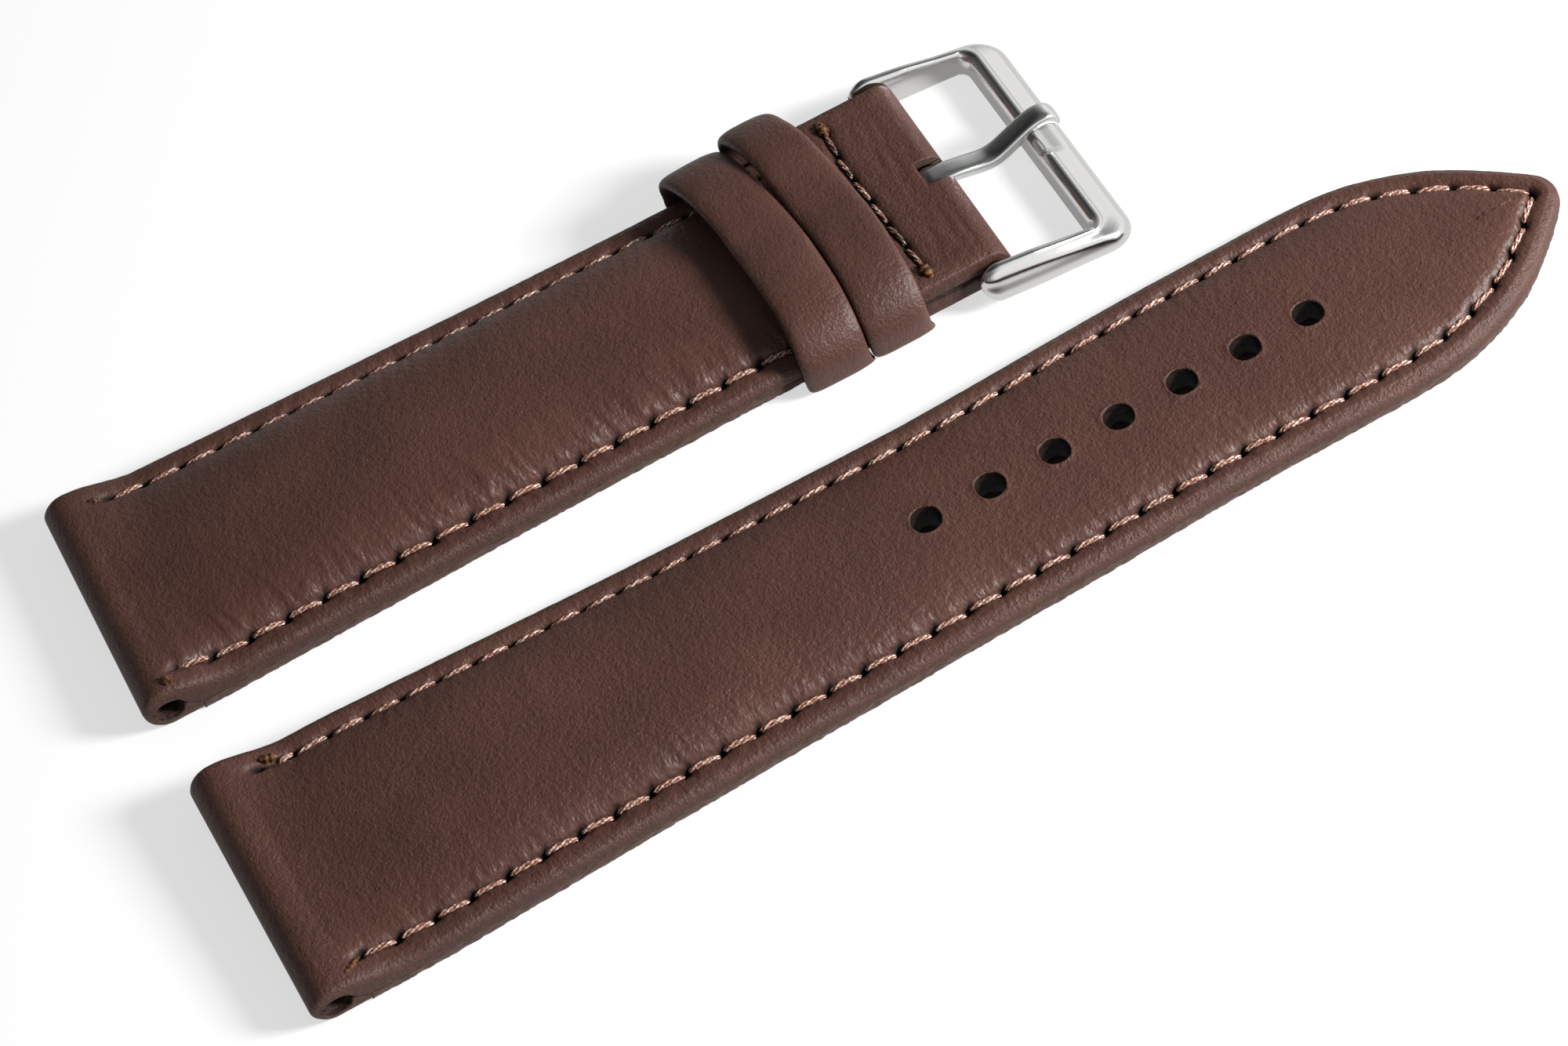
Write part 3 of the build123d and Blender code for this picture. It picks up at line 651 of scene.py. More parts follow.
def sewing_relief(half, x, side, inset, edge_x):
    """Valley, needle slits and puckers: their height, the shade painted into them, and how pulled the grain
    is.
    """
    pitch, near = half["sewn"]["pitch"], side < 0
    along = np.interp(edge_x, half["line_x"], half["line_s"])
    start = NEAR_FIRST_PULL if near and half["near_shift"] else FIRST_PULL
    end = half["sewn_end"]
    on = ease(start, start + PULL_RISE, x) * (1 - ease(end - LAST_PULL, end + PULL_FALL, x))
    phase = along / pitch + (half["near_shift"] if near else 0)
    from_hole = np.abs(past_hole(phase)) * pitch
    off = inset - STITCH_INSET
    pull = dent(from_hole, PULL_REACH)
    valley = -(VALLEY_DEPTH * (BETWEEN_SHARE + PULLED_SHARE * pull)) * dent(off, VALLEY_WIDTH)
    slant = SLIT_OFFSET + (NEAR_SLIT_SLANT if near else FAR_SLIT_SLANT) * past_hole(phase) * pitch
    slit = np.exp(-((from_hole / SLIT_LENGTH) ** 4) - ((off - slant) / SLIT_WIDTH) ** 2)
    tip = ease(*TIP_SOFTENING, x) if half["name"] == "long" else 0
    inner, outer = np.clip(off, 0, None), np.clip(off, None, 0)
    reach = np.exp(-inner / half["pucker_reach"]) * np.exp(outer / BORDER_REACH)
    fine = wander(along * 1.9 + 0.6 * off, off * 0.45 + 31 * side + half["seed"])
    coarse = wander(along * 0.62 + 7, off * 0.3 + 17 * side + half["seed"])
    gathered = -GATHER_SHARE * pull * dent(np.abs(off) - GATHER_OFFSET, GATHER_WIDTH)
    strength = half["pucker"] * (NEAR_STRENGTH if near else FAR_STRENGTH)
    puckers = FINE_SHARE * fine + COARSE_SHARE * coarse + gathered
    pucker = strength * reach * puckers * (1 - dent(off, SEAM_WIDTH))
    valley, pucker = valley * (1 - TIP_VALLEY_LOSS * tip), pucker * (1 - TIP_PUCKER_LOSS * tip)
    # Painted shade: near-black in the needle slits, a little along the valley.
    dark = on * np.clip(2.2 * slit + 0.3 * dent(off, SHADOW_WIDTH), 0, 1)
    return on * (valley - SLIT_DEPTH * slit + pucker), dark, on * reach * (1 if near else FAR_PULL)


def cross_relief(x, y):
    """Valley and needle slits of the row of stitches across the tab, and the shade painted into them."""
    off = x - np.interp(y, CROSS_Y[::-1], CROSS_X[::-1])
    fade_in, fade_out = CROSS_FADE
    on = ease(-fade_out, -fade_in, y) * (1 - ease(fade_in, fade_out, y))
    from_hole = np.abs(past_hole((y - CROSS_START) / CROSS_PITCH)) * CROSS_PITCH
    valley = dent(off, CROSS_WIDTH)
    slit = np.exp(-((from_hole / CROSS_SLIT_LENGTH) ** 4) - (off / CROSS_SLIT_WIDTH) ** 2)
    height = -on * (CROSS_DEPTH * valley + CROSS_SLIT_DEPTH * slit)
    # Painted shade in the cross seam's slits and valley.
    return height, on * np.clip(1.4 * slit + 0.55 * valley, 0, 1)


print("the cross seam runs from y", CROSS_Y[0], "to", CROSS_Y[-1])

# %% [markdown]
# Between the seams the leather rises over the padding in a full round shoulder. The border
# outside them is lower, and climbs to the lug roll at one end and to the buckle's fold at
# the other. A little unevenness keeps the whole from looking moulded.

# %% Surface of the top leather
BORDER_FADE = (5, 50)
LUG_SLOPE = (2.2, 8.5)
FOLD_RISE = (66.0, 71.6)
CROWN_FADE = (68.5, 71.8)
SHOULDER_OVERLAP = 0.25
LEAST_REACH = 0.5
DOME_POWER = 1 / 1.55
PUFF_HEIGHT, PUFF_RISE = 0.14, (4, 7)
SWELL_HEIGHT, RIPPLE_HEIGHT, UNEVEN_RISE = 0.045, 0.012, (0.3, 2.0)
FOLD_LINE_HEIGHT, FOLD_LINES_START, FOLD_LINES_END = 0.05, (73.4, 75), (79, 80.2)


def border_height(half, x):
    """Height of the border: high at the lug, and high again at the fold."""
    border = BORDER_HEIGHT + half["lug_border"] * (1 - ease(*BORDER_FADE, x))
    lug = LUG_HEIGHT + (border - LUG_HEIGHT) * ease(*LUG_SLOPE, x)
    if half["name"] == "short":
        return lug + (FOLD_HEIGHT - BORDER_HEIGHT) * ease(*FOLD_RISE, x)
    return lug


def top_height(half, x, y, inset, side, edge_x):
    """Height of the leather over the border line at a plan point, and the shade painted into its seams."""
    x, y, inset = np.broadcast_arrays(x, y, inset)
    crown_x, crown_z = half["crown"]
    rise = np.maximum(np.interp(x, crown_x, crown_z) - border_height(half, x), 0)
    if half["name"] == "short":
        rise = rise * (1 - ease(*CROWN_FADE, x))
    reach = np.maximum(half["half_width"](x) - BORDER_WIDTH + SHOULDER_OVERLAP, LEAST_REACH)
    fanned = np.maximum(np.abs(y) + inset - BORDER_WIDTH + SHOULDER_OVERLAP, LEAST_REACH)
    reach = np.where(x > half["fan_start"], fanned, reach)
    share = np.clip(1 - np.clip(inset - BORDER_WIDTH + SHOULDER_OVERLAP, 0, None) / reach, 0, 1)
    dome = (1 - share**half["fullness"]) ** DOME_POWER
    puff = PUFF_HEIGHT * np.sin(pi * np.clip(inset / STITCH_INSET, 0, 1)) * ease(*PUFF_RISE, x)
    puff = puff * half["puff"](x)
    sewing, dark, drawn = sewing_relief(half, x, side, inset, edge_x)
    uneven = (
        SWELL_HEIGHT * wander(x / 7 + half["seed"], y / 6 + 3) + RIPPLE_HEIGHT * wander(x / 1.7, y / 1.5 + 9)
    )
    if half["name"] == "short":
        # The cross seam's painted shade joins the side seams'.
        seam, seam_shade = cross_relief(x, y)
        on_fold = ease(*FOLD_LINES_START, x) * (1 - ease(*FOLD_LINES_END, x))
        folds = FOLD_LINE_HEIGHT * wander(x / 0.55, y / 3.2 + 40) * on_fold
        sewing, dark = sewing + seam + folds, np.maximum(dark, seam_shade)
    return rise * dome + puff + sewing + uneven * ease(*UNEVEN_RISE, inset), dark, drawn


print("the crown rises", round(CROWN_HEIGHT - BORDER_HEIGHT, 2), "mm over the border")

# %% [markdown]
# The skin begins under the strap, where the leather's end is glued to the lining, and goes
# round the lug roll before it runs along the top. So each station carries its own base
# point and the direction that is up there. The short half's stations go on round the bar
# and come back underneath as the flap. In the side wall the lug tunnel opens as a mouth.

# %% Stations along a half
MOUTH_RADIUS = 1.35
MOUTH_HALF_HEIGHT = 0.95
MOUTH_HEIGHT = 1.95
LUG_ROUNDING, FOLD_ROUNDING = 0.66, 0.3
TAB_ROUNDING_LOSS, TAB_ROUNDING = 0.36, (66.5, 70.5)
BAR_BORE = 0.85
SEAM_GAP = 0.15
WRAP_STEPS, ROLL_STEPS, FOLD_STEPS = 13, 32, 26
CROWN_TURN = -1.1 * pi


def bore_side(x, z_centre, x_centre, radius, upper):
    """Height of the round hole in the side wall at x, above or below its middle."""
    dz = np.sqrt(np.maximum(1 - ((x - x_centre) / radius) ** 2, 0)) * min(radius, MOUTH_HALF_HEIGHT)
    return z_centre + dz if upper else z_centre - dz


def lug_wall_foot(x, upper):
    """Where the side wall ends at the lug: at the tunnel's mouth, then at the glued seam."""
    if x < LUG_RADIUS + MOUTH_RADIUS:
        return bore_side(x, MOUTH_HEIGHT, LUG_RADIUS, MOUTH_RADIUS, upper)
    seam = float(np.interp(x, (LUG_RADIUS + MOUTH_RADIUS, WRAP_END), (MOUTH_HEIGHT, LINING_HEIGHT)))
    return seam - SEAM_GAP if upper else seam + SEAM_GAP


def stations(half):
    """Per station: edge and medial point in plan, base height, up direction, wall's inner end."""
    rows = []
    radius, width, short = LUG_RADIUS, half["half_width"], half["name"] == "short"
    for x in np.linspace(WRAP_END, radius, WRAP_STEPS)[:-1]:
        rows.append((x, float(width(x)), x, 0, 0.0, 0, -1, x, lug_wall_foot(x, False), 0, LUG_ROUNDING))
    for a in np.linspace(-pi / 2, -1.5 * pi, ROLL_STEPS)[:-1]:
        x, z = radius + radius * cos(a), radius + radius * sin(a)
        inner = (radius + MOUTH_RADIUS * cos(a), MOUTH_HEIGHT + MOUTH_HALF_HEIGHT * sin(a))
        crown = float(ease(CROWN_TURN, -1.5 * pi, a)) if a < CROWN_TURN else 0
        rows.append((x, float(width(x)), x, 0, z, cos(a), sin(a), *inner, crown, LUG_ROUNDING))
    for (ex, ey), (mx, my) in zip(half["edge"], half["middle"]):
        base = float(border_height(half, ex))
        foot = lug_wall_foot(ex, True) if ex < WRAP_END else half["wall_foot"](ex)
        rounding = LUG_ROUNDING - (TAB_ROUNDING_LOSS * float(ease(*TAB_ROUNDING, ex)) if short else 0)
        rows.append((ex, ey, mx, my, base, 0, 1, ex, foot, 1, rounding))
    if short:
        for a in np.linspace(pi / 2, -pi / 2, FOLD_STEPS)[1:]:
            x, z = BAR_X + BAR_Z * cos(a), BAR_Z + BAR_Z * sin(a)
            inner = (BAR_X + BAR_BORE * cos(a), BAR_Z + BAR_BORE * sin(a))
            rows.append((x, SHORT_END_HALF, x, 0, z, cos(a), sin(a), *inner, 0, FOLD_ROUNDING))
        for x in np.arange(BAR_X - STEP, FLAP_END - 0.1, -STEP):
            foot = bore_side(x, BAR_Z, BAR_X, BAR_BORE, False) if x > BAR_X - BAR_BORE else BAR_Z - 0.05
            rows.append((x, SHORT_END_HALF, x, 0, 0.0, 0, -1, x, foot, 0, FOLD_ROUNDING))
    names = "ex ey mx my base ux uz qx qz crown round".split()
    return {name: np.array([row[i] for row in rows], float) for i, name in enumerate(names)}


print("a mouth is", 2 * MOUTH_RADIUS, "mm long and", 2 * MOUTH_HALF_HEIGHT, "mm high")

# %% [markdown]
# Across a station the rows lie closer together where the sewing needs them. The wall bulges
# a little and has shade painted down it, the turned edge is rounded and rubbed, and from
# there each row keeps its distance in from the edge until the last ones share out what is
# left of the crown.

# %% Rows across a half
ROUND_STEPS = 5
WALL_STEPS = 6
RUBBED_STEPS = (1, 2, 3)
TOP_INSETS = (
    0.8, 0.95, 1.15, 1.35, 1.5, 1.62, 1.73, 1.84, 1.94, 2.04, 2.15, 2.26, 2.36, 2.46, 2.57, 2.68, 2.8, 2.95,
    3.12, 3.3, 3.55, 3.85, 4.2, 4.6, 5.0, 5.5, 6.0,
)
LAST_INSET = TOP_INSETS[-1]
CROWN_SHARES = [1 - i / 20 for i in range(1, 21)]
LIP_WIDTH = 1.6
WALL_BULGE, WALL_TUCK, WALL_RAG, CREASE_HEIGHT = 0.07, 0.1, 0.035, 0.03
# Painted shade on the tucked lip, the wall's foot and the side wall; the turned edge is a little darker.
LIP_SHADE, FOOT_SHADE, WALL_SHADE, EDGE_DARK, EDGE_RUB = 0.6, 0.8, 0.25, 0.1, 0.35
LEATHER_FACE, CUT_EDGE, LINING_SIDE, HOLE_WALL = range(4)


def half_rows(half, st):
    """Points of one side's rows, from the wall's foot up to the middle line, for both sides."""
    ones, none = np.ones(len(st["ex"])), np.zeros(len(st["ex"]))
    depth = np.hypot(st["mx"] - st["ex"], st["my"] - st["ey"])
    way = np.stack([st["mx"] - st["ex"], st["my"] - st["ey"]], 1) / np.maximum(depth, 1e-9)[:, None]
    insets = [np.minimum(inset * ones, depth) for inset in TOP_INSETS]
    deep = depth > LAST_INSET
    insets += [np.where(deep, depth - (depth - LAST_INSET) * share, depth) for share in CROWN_SHARES]

    # The last stations of the long half fan round one middle point, which has one height.
    fanned = st["mx"] > st["mx"].max() - 0.01
    full, _, _ = top_height(half, st["mx"], none, depth, 1, st["ex"])
    level = (fanned & (half["name"] == "long")) * ((st["base"] + full)[fanned].mean() - st["base"] - full)

    def point(side, inset, height):
        """A row on the leather's face, at its distance in and its height."""
        plan = np.stack([st["ex"], st["ey"]], 1) + way * inset[:, None]
        x, z = plan[:, 0] + st["ux"] * height, st["base"] + st["uz"] * height
        return np.stack([x, side * plan[:, 1], z], 1)

    def wall_point(side, inset, down):
        """A row on the side wall: down is 0 at the turned edge and 1 at the wall's foot."""
        plan = np.stack([st["ex"], st["ey"]], 1) + way * inset[:, None]
        x = plan[:, 0] + (st["ux"] * -st["round"]) * (1 - down) + (st["qx"] - st["ex"]) * down
        z = (st["base"] - st["uz"] * st["round"]) * (1 - down) + st["qz"] * down
        return np.stack([x, side * plan[:, 1], z], 1)

    sides = {}
    for side in (-1, 1):
        rows = [wall_point(side, LIP_WIDTH * ones, ones)]
        # Painted shade on the lip tucked under the strap.
        paints = [(LIP_SHADE * ones, none, none, CUT_EDGE)]
        for i in range(WALL_STEPS, 0, -1):
            t = i / WALL_STEPS
            ragged = WALL_RAG * wander(st["ex"] * 2.3, t * 3 + side * 5 + half["seed"])
            bulge = WALL_BULGE * sin(pi * t) - WALL_TUCK * (t > 0.9)
            rows.append(wall_point(side, -(bulge + ragged) * (1 - 0.6 * (1 - t)), t * ones))
            # Painted shade down the side wall, deepest at its foot.
            dark = WALL_SHADE if i < WALL_STEPS else FOOT_SHADE
            paints.append((dark * ones, none, none, LINING_SIDE if i > 4 else LEATHER_FACE))
        for i in range(ROUND_STEPS):
            a = pi / 2 * i / ROUND_STEPS
            inset, height = st["round"] * (1 - cos(a)), -st["round"] * (1 - sin(a))
            crease = CREASE_HEIGHT * wander(st["ex"] * 2.6, side * 3 + 0.4 * i + half["seed"])
            rows.append(point(side, inset, height + crease * (0.3 + i / ROUND_STEPS)))
            rub = EDGE_RUB * np.clip(wander(st["ex"] * 0.7, i + side), 0, 1) * (i in RUBBED_STEPS)
            paints.append((EDGE_DARK * ones, rub, none, LEATHER_FACE))
        for inset in insets:
            plan_x, plan_y = st["ex"] + way[:, 0] * inset, st["ey"] + way[:, 1] * inset
            height, dark, drawn = top_height(half, plan_x, side * plan_y, inset, side, st["ex"])
            height = height + level * ease(0.5, 1, inset / depth)
            rows.append(point(side, inset, height * st["crown"]))
            paints.append((dark * st["crown"], none, drawn * st["crown"], LEATHER_FACE))
        sides[side] = (rows, paints)
    return sides


def skin_grid(half):
    """The whole skin as points, faces, paint and face materials."""
    st = stations(half)
    sides = half_rows(half, st)
    rows, paint = (near + far[-2::-1] for near, far in zip(sides[-1], sides[1]))
    n, m = len(st["ex"]), len(rows)
    points = np.stack(rows, 1).reshape(-1, 3)
    layers = {name: np.stack([p[k] for p in paint], 1).reshape(-1) for k, name in enumerate(PAINTS)}
    row_material = [min(paint[j][3], paint[j + 1][3]) for j in range(m - 1)]
    skip = half["skip"](st, points.reshape(n, m, 3))
    faces, material = [], []
    for i in range(n - 1):
        for j in range(m - 1):
            if not skip[i, j]:
                a = i * m + j
                faces.append((a, a + 1, a + m + 1, a + m))
                material.append(row_material[j])
    return st, points, faces, layers, material, (n, m)


print("rows across the skin:", 2 * (1 + WALL_STEPS + ROUND_STEPS + len(TOP_INSETS) + len(CROWN_SHARES)) - 1)

# %% [markdown]
# The punch drives seven holes along the middle of the long half. Each hole's cells are
# taken out of the grid as a square and filled with rings that run from the square down to
# a circle, over a slightly sunken rim, and down the punched wall.

# %% Punched holes
HOLES = [60.9 + 5.9 * i for i in range(7)]
HOLE_RADIUS = 1.25
HOLE_FOOT = 0.9
HOLE_BLOCK, HOLE_BLOCK_HALF = 1.95, 2.0
RIM_SHARES = (0.3, 0.55, 0.75, 0.88, 0.96)
RIM_SWELL, RIM_SINK, RIM_DROP = 0.10, 0.2, 0.12
# Painted shade at the holes' rims and down their walls.
RIM_SHADE, HOLE_SHADE, HOLE_RAG, HOLE_FLARE, HOLE_ROUGHNESS = 0.35, 0.6, 0.02, 0.02, 0.03
HOLE_RINGS = 9


def hole_block(st, grid, hole):
    """The square of cells round a hole: its first and last station, its first and last row."""
    flat_top = (st["uz"] > 0.99) & (st["crown"] > 0.99)
    lines = np.where((np.abs(st["ex"] - hole) < HOLE_BLOCK) & flat_top)[0]
    across = np.count_nonzero(np.abs(grid[lines[0], :, 1]) < HOLE_BLOCK_HALF)
    centre, half_block = grid.shape[1] // 2, (across - 1) // 2
    return lines[0], lines[-1], centre - half_block, centre + half_block


def block_loop(i0, i1, j0, j1):
    """The grid points round a block of cells, in order."""
    loop = [(i0, j) for j in range(j0, j1)] + [(i, j1) for i in range(i0, i1)]
    return loop + [(i1, j) for j in range(j1, j0, -1)] + [(i, j0) for i in range(i1, i0, -1)]


def hole_skip(st, grid):
    """Cells that make room for the punched holes."""
    skip = np.zeros(grid.shape[:2], bool)
    for hole in HOLES:
        i0, i1, j0, j1 = hole_block(st, grid, hole)
        skip[i0:i1, j0:j1] = True
    return skip


def hole_rings(half, outer, number, hole):
    """Rings from a square of points down into its hole, each with its painted shade and material."""
    angle = np.arctan2(outer[:, 1], outer[:, 0] - hole)
    ragged = 1 + HOLE_RAG * wander(np.cos(angle) * 2 + number * 5, np.sin(angle) * 2)
    across = HOLE_RADIUS * ragged
    circle = np.stack([hole + across * np.cos(angle), across * np.sin(angle)], 1)
    rings = []
    for t in RIM_SHARES:
        plan = outer[:, :2] * (1 - t) + circle * t
        inset = half["half_width"](plan[:, 0]) - np.abs(plan[:, 1])
        rise, _, _ = top_height(half, plan[:, 0], plan[:, 1], inset, 1, plan[:, 0])
        sink = RIM_SWELL * max(0, (t - 0.45) / 0.55) - RIM_SINK * max(0, (t - 0.85) / 0.15) ** 2
        ring = np.column_stack([plan, BORDER_HEIGHT + rise + sink])
        # Painted shade where the rim turns down into the hole.
        rings.append((ring, RIM_SHADE * (t > 0.9), LEATHER_FACE))
    top_z = rings[-1][0][:, 2]
    for t in np.linspace(0, 1, HOLE_RINGS):
        z = (top_z - RIM_DROP) * (1 - t) + HOLE_FOOT * t
        wall = wander(np.cos(angle) * 4 + 11 * number, np.sin(angle) * 4 + z * 3)
        plan = (circle - [hole, 0]) * (1 + HOLE_FLARE * t + HOLE_ROUGHNESS * wall)[:, None] + [hole, 0]
        rings.append((np.column_stack([plan, z]), HOLE_SHADE, HOLE_WALL))
    return rings


def punch(half, st, points, layers, faces, material, shape):
    """The skin with its holes: rings from each square block down into its hole."""
    m = shape[1]
    grid = points.reshape(*shape, 3)
    points, dark, count = [points], [layers["dark"]], len(points)
    for number, hole in enumerate(HOLES):
        loop = block_loop(*hole_block(st, grid, hole))
        outer = np.array([grid[i, j] for i, j in loop])
        index = [i * m + j for i, j in loop]
        for ring, shade, kind in hole_rings(half, outer, number, hole):
            new = list(range(count, count + len(loop)))
            count += len(loop)
            for a in range(len(loop)):
                b = (a + 1) % len(loop)
                faces.append((index[a], index[b], new[b], new[a]))
                material.append(kind)
            points.append(ring)
            dark.append(np.full(len(loop), shade))
            index = new
    dark = np.concatenate(dark)
    unpainted = np.zeros(len(dark) - len(layers["worn"]))
    rest = {name: np.append(layers[name], unpainted) for name in ("worn", "pulled")}
    return np.concatenate(points), {"dark": dark, **rest}


print("holes from", HOLES[0], "to", round(HOLES[-1], 1), "mm")

# %% [markdown]
# The long half's crown fades from the lug end to the holes; past them the leather is thin
# and nearly flat. The strap was cut and turned by hand, so the finished skin gets a small
# lean at the lug and a tip that is cut a little off its middle line.

# %% The long half's top leather
PAST_TIP = LONG_LENGTH + 10
LINING_TOP = LINING_HEIGHT - LAYER_GAP
TIP_SKEW, SKEW_RISE, SKEW_EDGES, SKEW_TIP = 0.55, (62, 88), (1.8, 6.5), (104, 114)
TIP_FULLNESS, FULLNESS_RISE, FULLNESS_FALL, FULLNESS_REACH = 0.35, (99, 107), (112, 118), 7
LEAN_FADE = (6, 45)


def line_lengths(half):
    """Length along the sewn line as a function of the edge's x, for every station."""
    line = inset_line(half["edge"], half["middle"], STITCH_INSET)
    steps = lengths_along(line)
    half["line_x"] = half["edge"][:, 0]
    half["line_s"] = steps - np.interp(STITCH_START, line[:, 0], steps)


def by_hand(half, points):
    """The small lean and skew of hand work: a thicker side at the lug, the tip cut a little off."""
    moved = np.array(points, float)
    x, y = moved[:, 0], moved[:, 1].copy()
    moved[:, 2] *= 1 + half["lift"] / 3 * (y / LUG_HALF) * (1 - ease(*LEAN_FADE, x))
    if half["name"] == "long":
        edges = np.maximum(ease(*SKEW_EDGES, np.abs(y)), ease(*SKEW_TIP, x))
        full = ease(*FULLNESS_RISE, x) * (1 - ease(*FULLNESS_FALL, x))
        full = full * np.clip(np.abs(y) / FULLNESS_REACH, 0, 1)
        moved[:, 1] += TIP_SKEW * ease(*SKEW_RISE, x) * edges + TIP_FULLNESS * np.sign(y) * full
    return moved


def top_skin(name, half, cut, body, node):
    """A half's top leather as a piece, with its holes or its slot cut in."""
    st, points, faces, layers, material, shape = skin_grid(half)
    points, layers = cut(half, st, points, layers, faces, material, shape)
    kinds = [strap_leather, cut_edge, cut_edge, hole_edge]
    piece = make_piece(
        name, by_hand(half, points), faces, half["place"], body, kinds, layers, material
    )
    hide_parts(node)
    print(name, "has", len(piece.data.polygons), "faces")


long_half = {
    "name": "long", "place": LONG_PLACE, "edge": LONG_EDGE, "middle": LONG_MIDDLE,
    "half_width": long_half_width, "crown": LONG_CROWN, "fullness": 3.2, "fan_start": SHOULDER_X,
    "sewn": long_sewn, "sewn_end": PAST_TIP, "near_shift": 0.0, "lock": 0.55,
    "pucker": 0.13, "pucker_reach": 1.7, "seed": 3.0, "lug_border": 0.6, "lift": 0.33,
    "puff": lambda x: 0.6 + 0.9 * ease(40, 75, x), "wall_foot": lambda x: LINING_TOP, "skip": hole_skip,
}
line_lengths(long_half)
top_skin("long_top_skin", long_half, punch, "long_half", "long_top_leather")

# %% [markdown]
# The short half is the same leather, with the crown going on further. At the buckle it
# flattens to a tab, turns round the spring bar and comes back underneath as a flap. A slot
# in the fold lets the tang through.

# %% The short half's top leather
SLOT_HALF = 1.36
SLOT_START = BAR_X - 0.78
SLOT_FLAP_START = BAR_X - 0.6
SLOT_DEPTH = 0.75
NO_FAN = 1e9


def slot_block(st, grid):
    """The block of cells over the fold, between the slot's two sides."""
    above = (st["ex"] > SLOT_START) & (st["uz"] >= -0.001)
    below = (st["ex"] > SLOT_FLAP_START) & (st["uz"] < 0)
    lines = np.where(above | below)[0]
    across = np.where(np.abs(grid[lines[0], :, 1]) < SLOT_HALF)[0]
    return lines[0], lines[-1], across[0], across[-1]


def slot_skip(st, grid):
    """Cells that make room for the slot."""
    skip = np.zeros(grid.shape[:2], bool)
    i0, i1, j0, j1 = slot_block(st, grid)
    skip[i0:i1, j0:j1] = True
    return skip


def wall_slot(half, st, points, layers, faces, material, shape):
    """The skin with its slot: walls from the slot's edge down into the fold."""
    loop = block_loop(*slot_block(st, points.reshape(*shape, 3)))
    index = [i * shape[1] + j for i, j in loop]
    start = len(points)
    for a in range(len(loop)):
        b = (a + 1) % len(loop)
        faces.append((index[a], index[b], start + b, start + a))
        material.append(CUT_EDGE)
    outward = np.array([(st["ux"][i], 0, st["uz"][i]) for i, _ in loop])
    walls = points[index] - outward * SLOT_DEPTH
    shades = dict(zip(PAINTS, (0.7, 0, 0)))
    layers = {name: np.append(layers[name], np.full(len(loop), shades[name])) for name in PAINTS}
    return np.concatenate([points, walls]), layers


def short_wall_foot(x):
    """The wall ends on the lining, then inside the fold, and at the bar's bore."""
    if x >= BAR_X - BAR_BORE:
        return bore_side(x, BAR_Z, BAR_X, BAR_BORE, True)
    return float(np.interp(x, (FLAP_END - 1, FLAP_END + 0.6), (LINING_TOP, BAR_Z + 0.05)))


short_half = {
    "name": "short", "place": SHORT_PLACE, "edge": SHORT_EDGE, "middle": SHORT_MIDDLE,
    "half_width": short_half_width, "crown": SHORT_CROWN, "fullness": 3.2, "fan_start": NO_FAN,
    "sewn": short_sewn, "sewn_end": SHORT_STITCH_END, "near_shift": 0.5, "lock": 0.0,
    "pucker": 0.2, "pucker_reach": 2.4, "seed": 11.0, "lug_border": 0.4, "lift": -0.1,
    "puff": lambda x: 0.5 + 0 * x, "wall_foot": short_wall_foot, "skip": slot_skip,
}
line_lengths(short_half)
top_skin("short_top_skin", short_half, wall_slot, "short_half", "short_top_leather")

# %% [markdown]
# The lining is cut a hair smaller than the top, so that its raw edge hides under the
# turned one. It is a flat slab whose edge wanders and frays a little.

# %% Linings
LINING_INSET, LINING_OVERLAP = 0.1, 0.25
LINING_LEVELS = (0.01, 0.08, 0.3, 0.55, 0.8, LINING_TOP)
LINING_HOLE_RADIUS, LINING_HOLE_STEPS = HOLE_RADIUS - 0.03, 40
FRAY_DEPTH, LINING_CHAMFER = 0.06, 0.05


def lining(name, half, x0, x1, holes, body, node):
    """A flat slab of leather from x0 to x1, with frayed edges and punched holes."""
    keep = (half["edge"][:, 0] > x0 - LINING_OVERLAP) & (half["edge"][:, 0] < x1)
    far = inset_line(half["edge"][keep], half["middle"][keep], LINING_INSET)
    near = far[::-1] * [1, -1]
    loops = [np.concatenate([far, near[1:] if x1 > LONG_LENGTH else near])]
    turn = np.linspace(0, 2 * pi, LINING_HOLE_STEPS + 1)[:-1]
    circle = np.stack([LINING_HOLE_RADIUS * np.cos(turn), LINING_HOLE_RADIUS * np.sin(turn)], 1)
    loops += [circle + [hole, 0] for hole in holes]
    shape = bmesh.new()
    ends = []
    for number, loop in enumerate(loops):
        normal = np.roll(loop, -1, 0) - np.roll(loop, 1, 0)
        normal = np.stack([normal[:, 1], -normal[:, 0]], 1) / np.maximum(np.hypot(*normal.T), 1e-9)[:, None]
        rings = []
        for z in LINING_LEVELS:
            fray = FRAY_DEPTH * wander(loop[:, 0] * 3.1 + 13 * number, loop[:, 1] * 3.1 + z * 4)
            fray = fray - LINING_CHAMFER * (z in (LINING_LEVELS[0], LINING_LEVELS[-1]))
            flat = loop - normal * (fray * 0.3 if number else fray)[:, None]
            rings.append([shape.verts.new((x, y, z)) for x, y in flat])
        for low, high in zip(rings, rings[1:]):
            for a in range(len(loop)):
                b = (a + 1) % len(loop)
                shape.faces.new((low[a], low[b], high[b], high[a]))
        ends.append((rings[0], rings[-1]))
    for level in zip(*ends):
        edges = [shape.edges.get(pair) for ring in level for pair in zip(ring, ring[1:] + ring[:1])]
        bmesh.ops.triangle_fill(shape, edges=edges, use_beauty=True, use_dissolve=False)
    shape.verts.index_update()
    points = [tuple(v.co) for v in shape.verts]
    faces = [[v.index for v in f.verts] for f in shape.faces]
    shape.free()
    piece = make_piece(
        name, by_hand(half, points), faces, half["place"], body, [lining_leather]
    )
    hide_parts(node)


lining("long_lining_skin", long_half, WRAP_END, PAST_TIP, HOLES, "long_half", "long_lining")
lining("short_lining_skin", short_half, WRAP_END, FLAP_END, [], "short_half", "short_lining")
print("linings made")

